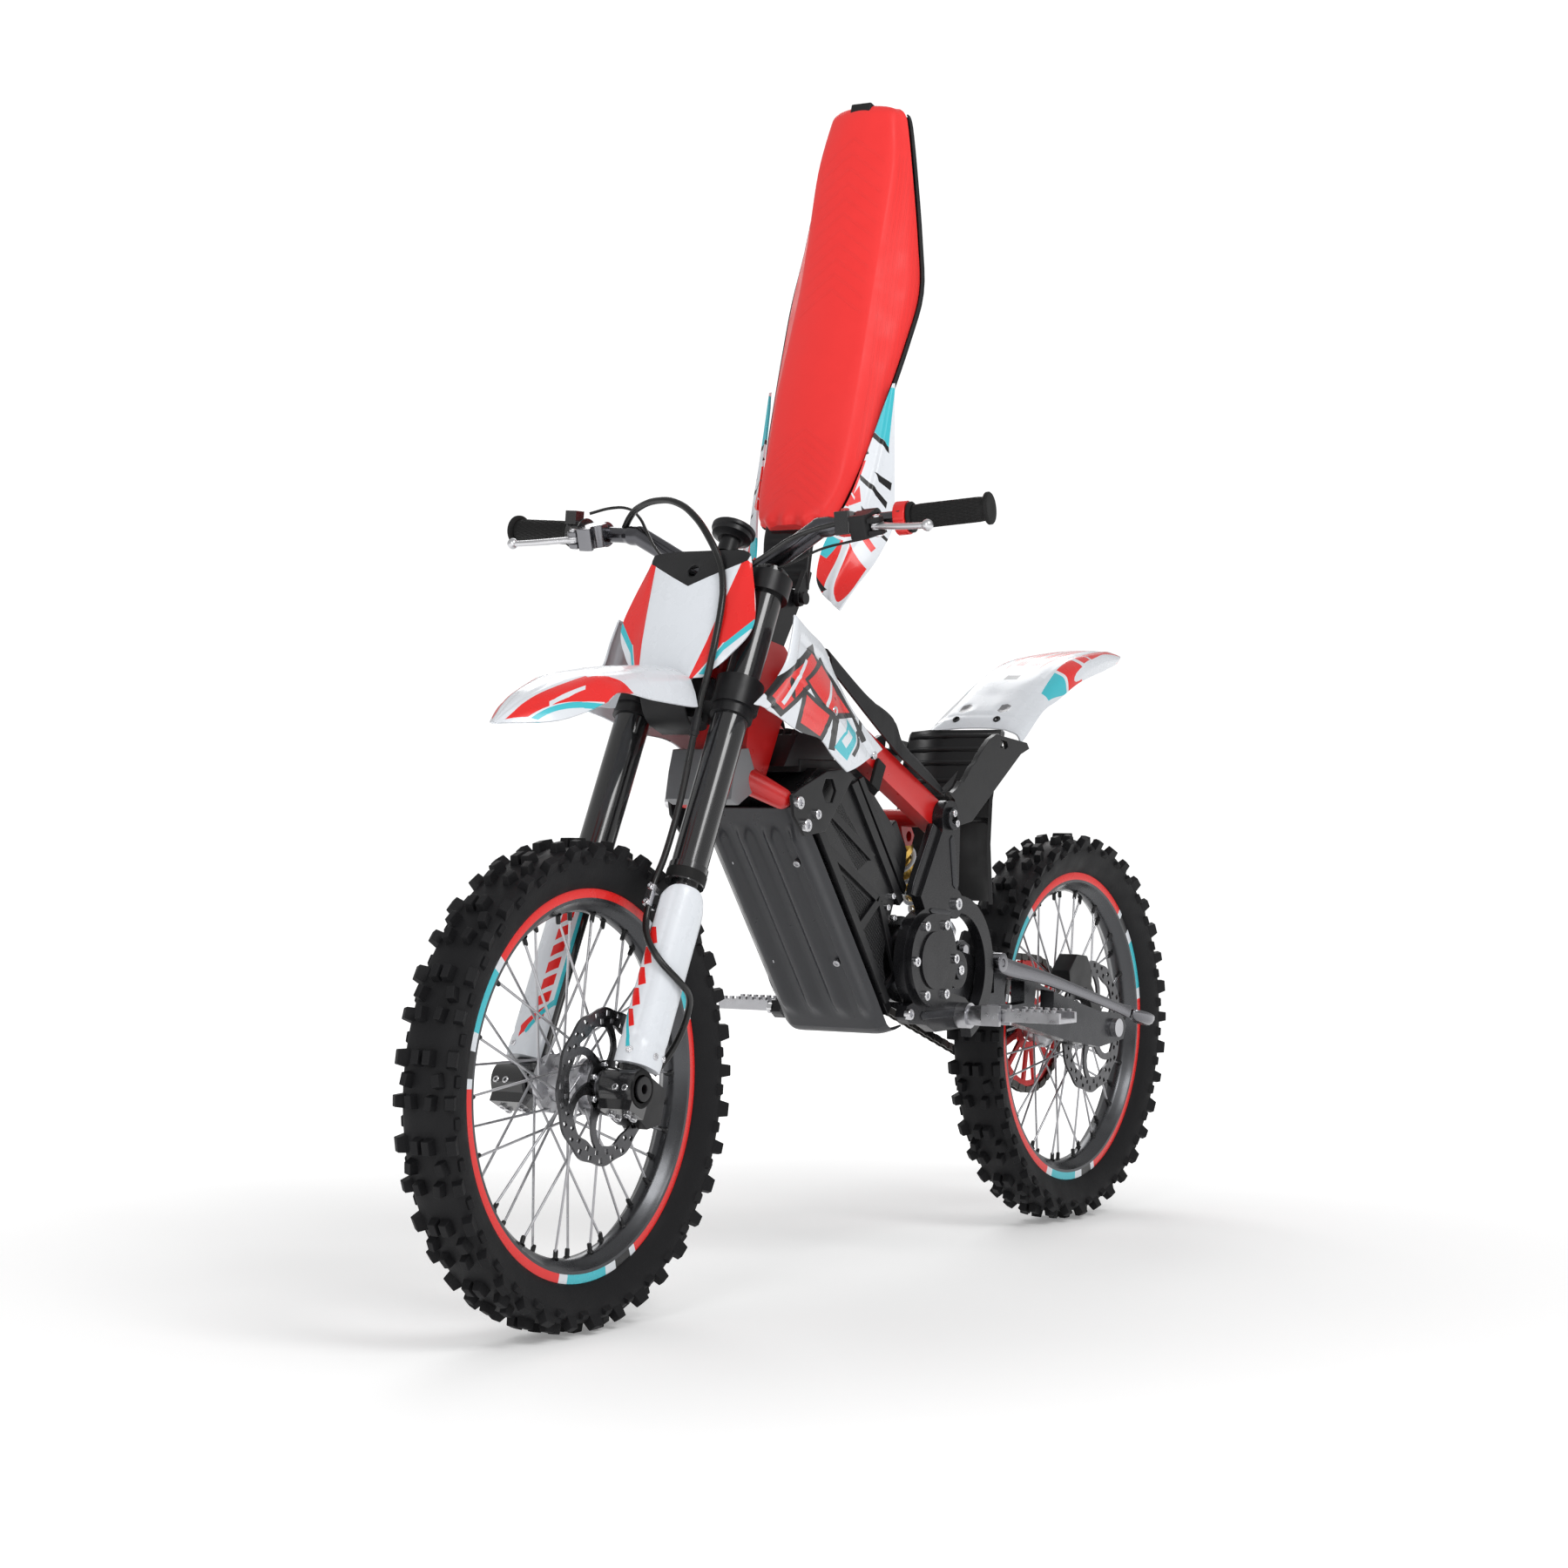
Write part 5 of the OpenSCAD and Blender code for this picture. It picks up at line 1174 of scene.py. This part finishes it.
def shroud_paint():
    paint = gloss_white("shroud_print")
    paint.print_shapes([
        (INK, [(326, 896), (294, 874), (346, 834), (418, 794), (470, 816), (470, 832), (428, 852)]),
        (BRIGHT_RED, [(322, 884), (306, 872), (350, 842), (416, 804), (456, 821), (422, 844)]),
        (INK, [(392, 846), (404, 850), (398, 822), (386, 816)]),
        (WHITE, [(346, 872), (354, 874), (424, 814), (415, 810)]),
        (INK, [(284, 880), (362, 846), (284, 794), (176, 800)]),
        (BRIGHT_RED, [(286, 869), (348, 845), (283, 803), (198, 806)]),
        (WHITE, [(250, 846), (256, 850), (306, 806), (298, 803)]),
        (INK, [(366, 836), (374, 780), (286, 760), (272, 804)]),
        (BRIGHT_RED, [(354, 826), (361, 788), (296, 771), (284, 800)]),
        (INK, [(258, 796), (276, 800), (262, 754), (244, 752)]),
        (TEAL, [(216, 798), (248, 757), (204, 739), (182, 778)]),
        (WHITE, [(220, 782), (232, 766), (214, 756), (203, 772)]),
        (INK, [(194, 802), (182, 802), (146, 768), (156, 764)]),
        (INK, [(160, 804), (150, 800), (184, 744), (194, 748)])], SIDE)
    return paint


def add_shrouds():
    """Side shrouds with a rolled rim on the front and top edges and pressed ridges."""
    paint = shroud_paint()
    for s, name in SIDES:
        rows = refine(SHROUD, 11, 11)
        edge = [p.copy() for p in rows[0]] + [row[0].copy() for row in rows]

        def height(p):
            reach = min((p - q).length for q in edge)
            lift = 3.4 if reach < 20 else max(0.0, 3.4 * (25 - reach) / 5)
            lift -= 5.0 * (1 - min(1, reach / 6)) ** 2
            lift -= rounded(reach - 28, 3.5, 1.6)
            lift += rounded(off_segment((p.x, p.z), (392, 858), (300, 815)), 4, 1.6)
            lift += rounded(off_segment((p.x, p.z), (300, 815), (215, 772)), 4, 1.4)
            lift -= rounded(off_segment((p.x, p.z), (360, 808), (262, 776)), 4, 1.0)
            return -lift

        add_sheet(raised(rows, height), name + "_side_shroud", "frame", paint, "shroud_print", side(s),
                  replaces=["side_shrouds"] if s > 0 else [], thick=3.2, bevel=0.9, plain_back=True)
        pegs = Shape(side(s))
        pegs.rod((262, 46, 820), (262, 131, 820), 6)
        pegs.rod((150, 78, 775), (150, 106, 775), 6)
        pegs.bolt((268, 134, 806), 7, 4, 1)
        pegs.bolt((118, 110.5, 748), 6, 3.4, 1)
        pegs.make(name + "_shroud_mounts", "frame", ["satin_black", "bright"], "bolt_steel", sharp=40)


def add_seat():
    vinyl = Paint("seat_vinyl", (0.82, 0.03, 0.028), rough=0.46, spec=0.3, vary=0.03, bump=0.00012,
                  bump_scale=900, sheen=0.1)
    grooves = [vinyl.inside([(x, 0), (x - 4, 0), (x + 34, 52), (x + 38, 52)], SEAT_TOP)
               for x in [*range(-60, 37, 16), *range(-520, -279, 24)]]
    for k in range(9):
        z = 945 - 6 * k
        grooves.append(vinyl.inside([(-500, z - 1), (-20, z + 1), (-20, z - 1), (-500, z - 3)], SEAT_SIDE))
    vinyl.bump(vinyl.union(grooves), 0.0009)
    rows = []
    stations = [(90, 30, 982, 40, 970), (82, 44, 985, 52, 962), (68, 54, 984, 62, 954), (20, 57, 974, 74, 944),
                (-50, 59, 968, 88, 934), (-129, 60, 966, 99, 924), (-220, 58, 961, 110, 912),
                (-299, 56, 958, 115, 904), (-380, 56, 958, 100, 908), (-480, 56, 960, 80, 922),
                (-552, 55, 962, 66, 932), (-570, 51, 959, 60, 936), (-577, 44, 954, 52, 938)]
    for x, wt, zt, wb, zb in stations:
        flare = max(0, wb - 80) * 0.26
        ridge = min(wt + 9, wb - 6) if wb > 66 else wt
        half = [(x, 0, zt + 4.6), (x, 0.4 * ridge, zt + 3), (x, 0.75 * ridge, zt - 1.5), (x, 0.93 * ridge, zt - 6),
                (x, ridge + 1, zt - 11), (x, 0.55 * ridge + 0.45 * (wb - flare), 0.55 * (zt - 11) + 0.45 * zb),
                (x, 0.2 * ridge + 0.8 * (wb - flare), 0.2 * (zt - 11) + 0.8 * zb), (x, wb - flare, zb - flare)]
        rows.append(mirror_row(half))
    sheet = refine(rows, 5, 4)

    def pleats(p):
        if p.x < 66:
            return 0.0
        return 3.0 * math.cos(abs(p.y) / 44 * TURN * 1.5 + math.pi) * min(1, (p.x - 66) / 16)

    sheet = raised(sheet, pleats)
    cushion = Shape(SEAT)
    cushion.grid(sheet)
    edge_low = [Vector((p.x, p.y * 0.985, p.z - 3)) for p in (row[-1] for row in sheet)]
    bottom = [[Vector((p.x, -p.y, p.z)), Vector((p.x, 0, p.z - 0.5)), p] for p in edge_low]
    cushion.grid([row[::-1] for row in bottom])
    for row in (sheet[0], sheet[-1]):
        cushion.add(list(row), [tuple(range(len(row)))])
    seat = cushion.make("vinyl_seat", "seat", [vinyl], "seat_vinyl", ["seat_cushion"], sharp=60)

    catch = Shape(SEAT)
    catch.block((-580, -17, 944), (-554, 17, 964.5))
    catch.make("seat_catch", "seat", ["grain_black"], "cover_black", bevel=2.0)

    rows = []
    for x, wt, zt, wb, zb in stations[1:-1]:
        wb, zb = wb - 0.22 * max(0, wb - 80), zb - 0.12 * max(0, wb - 80)
        rows.append([Vector((x, y * (wb + 2.2), zb - drop)) for y, drop in
                     ((-1, 3), (-1, 7), (-0.97, 11), (-0.6, 12.4), (0, 12.6), (0.6, 12.4), (0.97, 11), (1, 7),
                      (1, 3))])
    add_sheet(refine(rows, 4, 2), "seat_pan", "seat", "grain_black", "cover_black", SEAT, replaces=["seat_base"],
              thick=2.4, offset=0, bevel=0.6)
    rows = [mirror_row([(x, 0, z), (x, 0.6 * w, z), (x, w, z - 1.5), (x, w + 1, z - 7)])
            for x, z, w in ((82, 971, 41), (104, 973, 40), (130, 970, 38.5), (156, 966, 37.5), (177, 959.5, 36))]
    rows = raised(refine(rows, 10, 4), lambda p: -rounded((p.x % 11) - 5.5, 3.4, 1.4)
                  if abs(p.y) < 30 and p.x > 92 else 0)
    add_sheet(rows, "seat_nose", "seat", "satin_black", "cover_black", SEAT, thick=4.5, offset=1.0, bevel=1.0)
    ears = Shape(SEAT)
    for s in (-1, 1):
        ears.prism([(150, 966), (150, 950), (190, 954), (203, 959), (207, 966), (203, 974), (190, 978)],
                   s * 27 if s > 0 else -36, 36 if s > 0 else -27)
    ears.make("seat_hinge_ears", "seat", ["satin_black"], "cover_black", bevel=1.6)


def wing_paint():
    paint = gloss_white("wing_print")
    paint.print_shapes([
        (BRIGHT_RED, [(-22, 938), (0, 941), (52, 949), (50, 962), (-14, 956)]),
        (BRIGHT_RED, [(17, 941), (40, 937), (50, 948), (44, 950)]),
        (WHITE, [(10, 960), (14, 960), (40, 944), (36, 944)]),
        (TEAL, [(-138, 932), (-72, 940), (-50, 914), (-138, 920)]),
        (INK, [(-73, 942), (-50, 914), (-41, 912), (-64, 942)]),
        (INK, [(-48, 942), (-33, 936), (-26, 944)]),
        (INK, [(0, 943), (9, 941), (40, 904), (30, 904)]),
        (INK, [(-8, 928), (4, 920), (12, 902), (0, 902)]),
        (INK, [(46, 936), (54, 934), (92, 900), (84, 900)]),
        (BRIGHT_RED, [(214, 968), (140, 930), (104, 946), (98, 974), (200, 978)]),
        (BRIGHT_RED, [(76, 940), (112, 922), (104, 916), (84, 926)]),
        (WHITE, [(98, 944), (214, 963), (214, 967), (98, 949)]),
        (TEAL, [(92, 972), (104, 952), (134, 962), (124, 972)]),
        (INK, [(138, 974), (147, 974), (186, 964), (180, 960)])], SEAT_SIDE)
    return paint


def add_wings():
    paint = wing_paint()
    for s, name in SIDES:
        rows = refine(SEAT_WING, 9, 12)
        ridge_line = [row[len(row) // 2] for row in rows]
        add_sheet(raised(rows, lambda p: rounded(min((p - q).length for q in ridge_line), 7, 2.0)),
                  name + "_seat_wing", "seat", paint, "white_plastic", side(s, SEAT),
                  replaces=["seat_shrouds"] if s > 0 else [], thick=3.2, offset=1.0, bevel=0.9)


def add_covers():
    for s, name in SIDES:
        rows = [[(x, y - 1, z), (x + 1, y + 5, z - 1.5), (x, y + 8.4, z - 8), (x - 3, y + 9, (z + low) / 2 - 2),
                 (x - 4, y + 9, low)] for x, z, y, low in COVER_LINE]
        rows = raised(refine(rows, 9, 5), lambda p: rounded((p.x + 30) % 46 - 23, 3, 0.7) if p.x < 120 else 0)
        add_sheet(rows, name + "_spar_cover", "frame", "grain_black", "cover_black", side(s),
                  replaces=["top_covers"] if s > 0 else [], thick=3.4, bevel=0.8)


def add_bash_plate():
    rows = refine([mirror_row([(x, 0, z), (x, 20, z), (x, 40, z), (x - 1, 62, z), (x - 3, 74, z + 1.5),
                               (x - 12, 86, z + 6)]) for x, z in BASH_LINE], 9, 6)

    def height(p):
        lift = 0.0
        if 372 < p.z < 648:
            ends = min(1, (648 - p.z) / 14, (p.z - 372) / 20)
            for y, width in ((-58, 13), (-14, 13), (30, 13), (68, 9)):
                lift += 9 * ends * min(1, max(0.0, 1.7 * (1 - abs(p.y - y) / width)))
            lift -= rounded(p.y + 36, 3, 0.9) + rounded(p.y - 8, 3, 0.9)
        return lift

    add_sheet(raised(rows, height), "bash_guard", "frame", "bash_grey", "bash_grey", replaces=["bash_plate"],
              thick=3, offset=1.0, bevel=0.8)
    add_bolts("bash_screws", "frame", [((x + 1.5, s * y, z), 5.4, 2.4, (0.79, 0, -0.61)) for s in (-1, 1)
                                       for x, y, z in ((231, 55, 595), (121, 55, 452))], mats=("machined",))


def add_rear_fender():
    paint = gloss_white("tail_print")
    paint.print_shapes([
        (TEAL, [(-482, 80), (-480, 68), (-542, 60), (-550, 78)]),
        (BRIGHT_RED, [(-558, 78), (-550, 59), (-606, 54), (-614, 73)]),
        (BRIGHT_RED, [(-626, 70), (-618, 52), (-648, 50), (-656, 66)]),
        (BRIGHT_RED, [(-662, 66), (-654, 50), (-790, 38), (-804, 48)]),
        (BRIGHT_RED, [(-560, 6), (-830, 3), (-830, 12), (-560, 22)]),
        (BRIGHT_RED, [(-540, 30), (-700, 20), (-760, 22), (-600, 38)]),
        ((0.16, 0.16, 0.17), [(-411, 26), (-427, 26), (-431, 34), (-427, 43), (-411, 43), (-407, 34)]),
        ((0.1, 0.1, 0.11), [(-503, 0), (-519, 0), (-519, 12), (-503, 12)])], TOP)

    def height(p):
        lift = rounded(abs(p.y) - 58 * min(1, (880 + p.x) / 160), 6, 1.2)
        lift -= rounded(math.hypot((p.x + 419) / 12, (abs(p.y) - 34) / 9), 1.3, 3.0)
        lift -= rounded(p.x + 400, 6, 1.2)
        return -lift

    add_sheet(raised(refine(mirrored(FENDER_REAR), 9, 7), height), "rear_mudguard", "frame", paint,
              "white_plastic", replaces=["rear_fender"], thick=3.4, bevel=0.9)
    add_bolts("tail_screws", "frame", [((-392, s * 36, 812), 6, 3, (0.7, 0, 0.7)) for s in (-1, 1)],
              mats=("satin_black",))


# ---------- frame, battery case and drive ----------

def add_battery_case():
    paint = Paint("case_print", (0.008, 0.008, 0.009), rough=0.32, spec=0.4, vary=0.2, bump=0.00008, bump_scale=500)
    pockets = paint.union([paint.inside(outline, SIDE) for outline in (
        [(200, 598), (186, 566), (124, 500), (76, 536)], [(122, 500), (62, 532), (16, 432), (58, 414)],
        [(178, 690), (204, 662), (120, 584), (84, 602)])])
    mesh = paint.union([paint.math("SINE", paint.math("MULTIPLY", paint.dot(paint.where, way), 1400.0))
                        for way in ((0.8, 0, 0.6), (-0.6, 0, 0.8))])
    paint.bump(paint.math("MULTIPLY", mesh, pockets), 0.0006)
    paint.bump(paint.math("SUBTRACT", 1.0, pockets), 0.0025)
    dress("battery_case", paint, 2.0)
    detail = Shape()
    for s in (-1, 1):
        wall = CASE_WALL * s
        for height, outline in (
                (5.5, [(34, 398), (46, 392), (246, 652), (234, 662)]),
                (5.5, [(146, 706), (130, 712), (-4, 540), (8, 532)]),
                (4, [(124, 714), (112, 718), (-14, 560), (-8, 548)]),
                (5, [(212, 612), (200, 620), (64, 548), (70, 538)]),
                (5, [(128, 506), (118, 494), (60, 538), (66, 548)]),
                (4.5, [(66, 536), (56, 540), (8, 436), (18, 430)]),
                (4.5, [(60, 404), (52, 412), (20, 436), (10, 428)]),
                (4, [(76, 606), (88, 598), (214, 668), (206, 680)])):
            detail.prism(outline, *sorted((wall - s, wall + s * height)))
        for x, z in ((39, 530), (20, 514), (24, 546)):
            detail.bolt((x, wall, z), 5, 5.6, 1, direction=(0, s, 0))
    detail.make("battery_case_ribs", "frame", ["pack_black", "bright"], "pack_shell", bevel=1.8, segments=3)
    tray = Shape()
    tray.block((96, -70, 722), (250, 70, 741))
    tray.make("wiring_tray", "frame", ["grain_black"], "pack_shell", bevel=2)
    strap = Shape()
    for s in (-1, 1):
        low, high = sorted((88 * s, 93 * s))
        strap.block((60, low, 700), (84, high, 742),
                    Matrix.Translation((72, 0, 720)) @ Matrix.Rotation(math.radians(-28), 4, "Y")
                    @ Matrix.Translation((-72, 0, -720)))
    strap.make("battery_strap", "frame", ["rubber"], "pack_shell", bevel=0.8)
    dress("controller", "satin_black", 1.6)
    dress("battery_pack", "pack_black", 0)


def add_castings():
    for node, mat, bevel in (("pivot_plates", "cast_black", 1.6), ("motor", "cast_metal", 1.2),
                             ("motor_covers", "cast_black", 2.0), ("side_plates", "satin_black", 1.2),
                             ("main_frame", "frame_red", 2.5), ("splash_guard", "grey_plastic", 1.4),
                             ("seat_hinge", "satin_black", 1.4), ("footpeg_brackets", "machined", 1.6),
                             ("subframe", "satin_black", 1.6), ("swingarm", "cast_metal", 2.0),
                             ("rear_axle", "machined", 0.8), ("rear_caliper", "satin_black", 3.0),
                             ("motor_sprocket", "machined", 0.4), ("left_footpeg", "machined", 0.8),
                             ("right_footpeg", "machined", 0.8)):
        dress(node, mat, bevel)
    ribs = Shape()
    for s in (-1, 1):
        for a, b, width in (((-116, 560), (-106, 628), 7), ((-96, 520), (-44, 524), 4), ((-150, 372), (-20, 372), 6)):
            a, b = Vector(a), Vector(b)
            along = (b - a).normalized() * 6
            wide = Vector((-along.y, along.x)).normalized() * width
            ring = [a - along, a - wide, b - wide, b + along, b + wide, a + wide]
            ribs.prism([(p.x, p.y) for p in ring], *sorted((s * (CAST_FACE - 0.5), s * (CAST_FACE + 1.6))))
    ribs.make("casting_ribs", "frame", ["cast_metal"], "cast_dark", bevel=1.0)

    # A thin web along the front edge of each cast leg, and a rim along the rear edge of the battery case
    web, rim = Shape(), Shape()
    for s in (-1, 1):
        web.prism([(-80, 642), (-14, 543), (4, 548), (-2, 566), (-60, 652)], *sorted((s * 99, s * 110)))
        rim.prism([(15, 538), (-5, 606), (21, 648), (8, 656), (-24, 612), (-20, 588), (0, 532)],
                  *sorted((s * 64, s * 86)))
    web.make("casting_webs", "frame", ["cast_black"], "cast_dark", bevel=2.0)
    rim.make("case_rear_rims", "frame", ["pack_black"], "pack_shell", bevel=2.0)

    bolts = Shape()
    for s in (-1, 1):
        for a in angles(6):
            x, z = polar(58, a)
            bolts.bolt((MOTOR.x + x, s * 123.5, MOTOR.y + z), 7.2, 6.4, direction=(0, s, 0))
        for x, y, z, head, height, slot in (
                (-118, CAST_FACE, 532, 9, 7, 0), (311, 103, 680, 9, 7, 0), (291, 103, 649, 9, 7, 0),
                (262, 103, 664, 7, 6, 0), (22, CAST_FACE, 376, 8, 6.4, 0), (-103, CAST_FACE, 658, 17, 6.5, 1),
                (-99, 121, 666, 5.4, 4, 0), (-107, 121, 651, 5.4, 4, 0), (-128, CAST_FACE, 434, 14.5, 4.5, 1),
                (-128, 119, 434, 7.5, 2.6, 0)):
            bolts.bolt((x, s * y, z), head, height, slot, direction=(0, s, 0))
    bolts.make("frame_bolt_heads", "frame", ["bright", "cast_metal"], "bolt_steel", ["frame_bolts"], sharp=40)


def add_tub_ribs():
    """Raised ribs across the mudguard inside the subframe."""
    for k, (x, z) in enumerate(((-364, 786), (-354, 765), (-344, 744), (-337, 716), (-329, 690), (-326, 655))):
        rib = Shape()
        rib.grid([mirror_row([(x + lift, 0, z + dz), (x + 2 + lift, 38, z + dz), (x + 13 + lift, 64, z + dz),
                              (x + 42 + lift, 78, z - 4 + dz)])
                  for lift, dz in ((0, 4), (2.6, 2.6), (2.6, -2.6), (0, -4))])
        rib.make(f"tub_rib_{k + 1}", "frame", ["satin_black"], "cover_black", levels=1)


def add_kickstand():
    """Forged stand: pivot eye, tapering arm with a rounded section, and an oval cupped foot."""
    stand = Shape()
    stations = catmull([[Vector(p), Vector(q)] for p, q in (
        ((STAND_X + 6, 113, STAND_Z), (12, 6.5, 0)), ((STAND_X - 30, 117, STAND_Z - 10), (13, 6.5, 0)),
        ((-380, 131, 411), (10, 6, 0)), ((-500, 148, 379), (8, 5.4, 0)), ((-580, 158, 357), (8, 5.4, 0)),
        ((-604, 163, 350), (10, 7, 0)))], 6)
    spots = [at for at, size in stations]
    rows = []
    for i, (at, size) in enumerate(stations):
        ahead = along_path(spots, i).normalized()
        up = (Vector((0, 0, 1)) - ahead * ahead.z).normalized()
        out = ahead.cross(up)
        rows.append([at + size.x * blunt(math.sin(a), 0.55) * up + size.y * blunt(math.cos(a), 0.55) * out
                     for a in angles(28)])
    stand.grid(rows, close=True)
    stand.lathe([(6.1, -8), (14, -8), (15, -7), (15, 7.6), (14, 8.6), (6.1, 8.6)], 48, 0,
                Matrix.Translation((STAND_X, 113.2, STAND_Z)) @ TO_Y, closed=True)
    foot = Matrix.Translation((-638, 171, 340)) @ Matrix.Rotation(math.radians(-14), 4, "Y") @ Matrix.Diagonal(
        (1, 0.5, 1, 1))
    stand.lathe([(0.1, -10), (22, -10), (30, -6), (34, 0), (33.6, 5), (31, 6.6), (27, 3), (12, 0), (0.1, 0)],
                56, 0, foot)
    stand.make("forged_kickstand", "kickstand", ["grey_metal"], "cast_dark", ["kickstand"], bevel=0.8, angle=60,
               sharp=60)


def add_shock():
    dress("shock_body", "gold", 1.0)
    dress("shock_rod", "bright", 0.8)
    top, low = Vector((-118, 0, 631)), Vector((-300, 0, 455))
    length = (low - top).length
    turn = (low - top).to_track_quat("Z", "Y").to_matrix().to_4x4()
    spring = Shape(ROW @ Matrix.Translation(top) @ turn)
    rows, turns, steps = [], 7.5, 30
    coil, wire = 22.4, 3.5
    start, end = 39, length - 44
    for i in range(int(turns * steps) + 1):
        a = TURN * i / steps
        z = start + (end - start) * i / (turns * steps)
        out = Vector((*polar(1, a), 0))
        rows.append([Vector((0, 0, z)) + out * coil + wire * (math.cos(b) * out + math.sin(b) * Vector((0, 0, 1)))
                     for b in angles(12)])
    spring.grid(rows, close=True)
    spring.make_blended("coil_spring", gloss_white("spring_white"),
                        "shock_spring")


def tangent_points(a, ra, b, rb, upper):
    """Where a belt round circles a and b leaves each of them."""
    between = b - a
    base = math.atan2(between.y, between.x)
    turn = math.acos((ra - rb) / between.length) * (-1 if upper else 1)
    way = Vector((math.cos(base + turn), math.sin(base + turn)))
    return a + way * ra, b + way * rb


def add_chain():
    """Roller chain: one link after another round both sprockets."""
    small, large = MOTOR, Vector((REAR.x / MM, REAR.z / MM))
    ra, rb = MOTOR_SPROCKET_RADIUS, SPROCKET_RADIUS
    ua, ub = tangent_points(small, ra, large, rb, True)
    la, lb = tangent_points(small, ra, large, rb, False)
    path = []

    def arc(centre, radius, start, end):
        a0 = math.atan2(start.y - centre.y, start.x - centre.x)
        a1 = math.atan2(end.y - centre.y, end.x - centre.x)
        while a1 < a0:
            a1 += TURN
        steps = max(8, int((a1 - a0) * radius / 3))
        for k in range(steps):
            a = a0 + (a1 - a0) * k / steps
            path.append(centre + Vector(polar(radius, a)))

    def line(start, end):
        steps = 60
        for k in range(steps):
            path.append(start.lerp(end, k / steps))

    # Anticlockwise seen from the left: over the small sprocket, along the top run, round the large one and back
    first, second = (ua, ub) if ua.y > la.y else (la, lb)
    third, fourth = (lb, la) if ua.y > la.y else (ub, ua)
    line(first, second)
    arc(large, rb, second, third)
    line(third, fourth)
    arc(small, ra, fourth, first)
    length, spots = 0.0, [0.0]
    for a, b in zip(path, path[1:] + path[:1]):
        length += (b - a).length
        spots.append(length)
    count = 2 * round(length / LINK_PITCH / 2)

    def at(distance):
        distance %= length
        low, high = 0, len(spots) - 1
        while high - low > 1:
            mid = (low + high) // 2
            if spots[mid] <= distance:
                low = mid
            else:
                high = mid
        part = (distance - spots[low]) / max(1e-6, spots[high] - spots[low])
        return path[low].lerp(path[(low + 1) % len(path)], part)

    pins = [at(length * k / count) for k in range(count)]
    chain = Shape()
    plate = 1.5
    for k in range(count):
        a, b = pins[k], pins[(k + 1) % count]
        ahead = (b - a).normalized()
        wide = Vector((-ahead.y, ahead.x))
        ring = []
        for centre, start in ((b, -math.pi / 2), (a, math.pi / 2)):
            for j in range(7):
                t = start + math.pi * j / 6
                ring.append(centre + 5.4 * (math.cos(t) * ahead + math.sin(t) * wide))
        outline = [(p.x, p.y) for p in ring]
        gap = 5.0 if k % 2 else 3.2
        for y in (CHAIN_Y - gap - plate, CHAIN_Y + gap):
            chain.prism(outline, y, y + plate)
        for half, radius, sides in ((6.6, 1.9, 10), (3.2, 3.9, 12)):
            chain.rod((a.x, CHAIN_Y - half, a.y), (a.x, CHAIN_Y + half, a.y), radius, sides)
    chain.make_blended("roller_chain", "chain_steel",
                       "chain", smooth=False)


def main():
    make_materials()
    add_camera()
    add_studio()
    add_wheels()
    add_fork()
    add_guards()
    add_plate()
    add_front_fender()
    add_controls()
    add_hoses()
    add_shrouds()
    add_seat()
    add_wings()
    add_covers()
    add_bash_plate()
    add_rear_fender()
    add_battery_case()
    add_castings()
    add_tub_ribs()
    add_kickstand()
    add_shock()
    add_chain()


main()
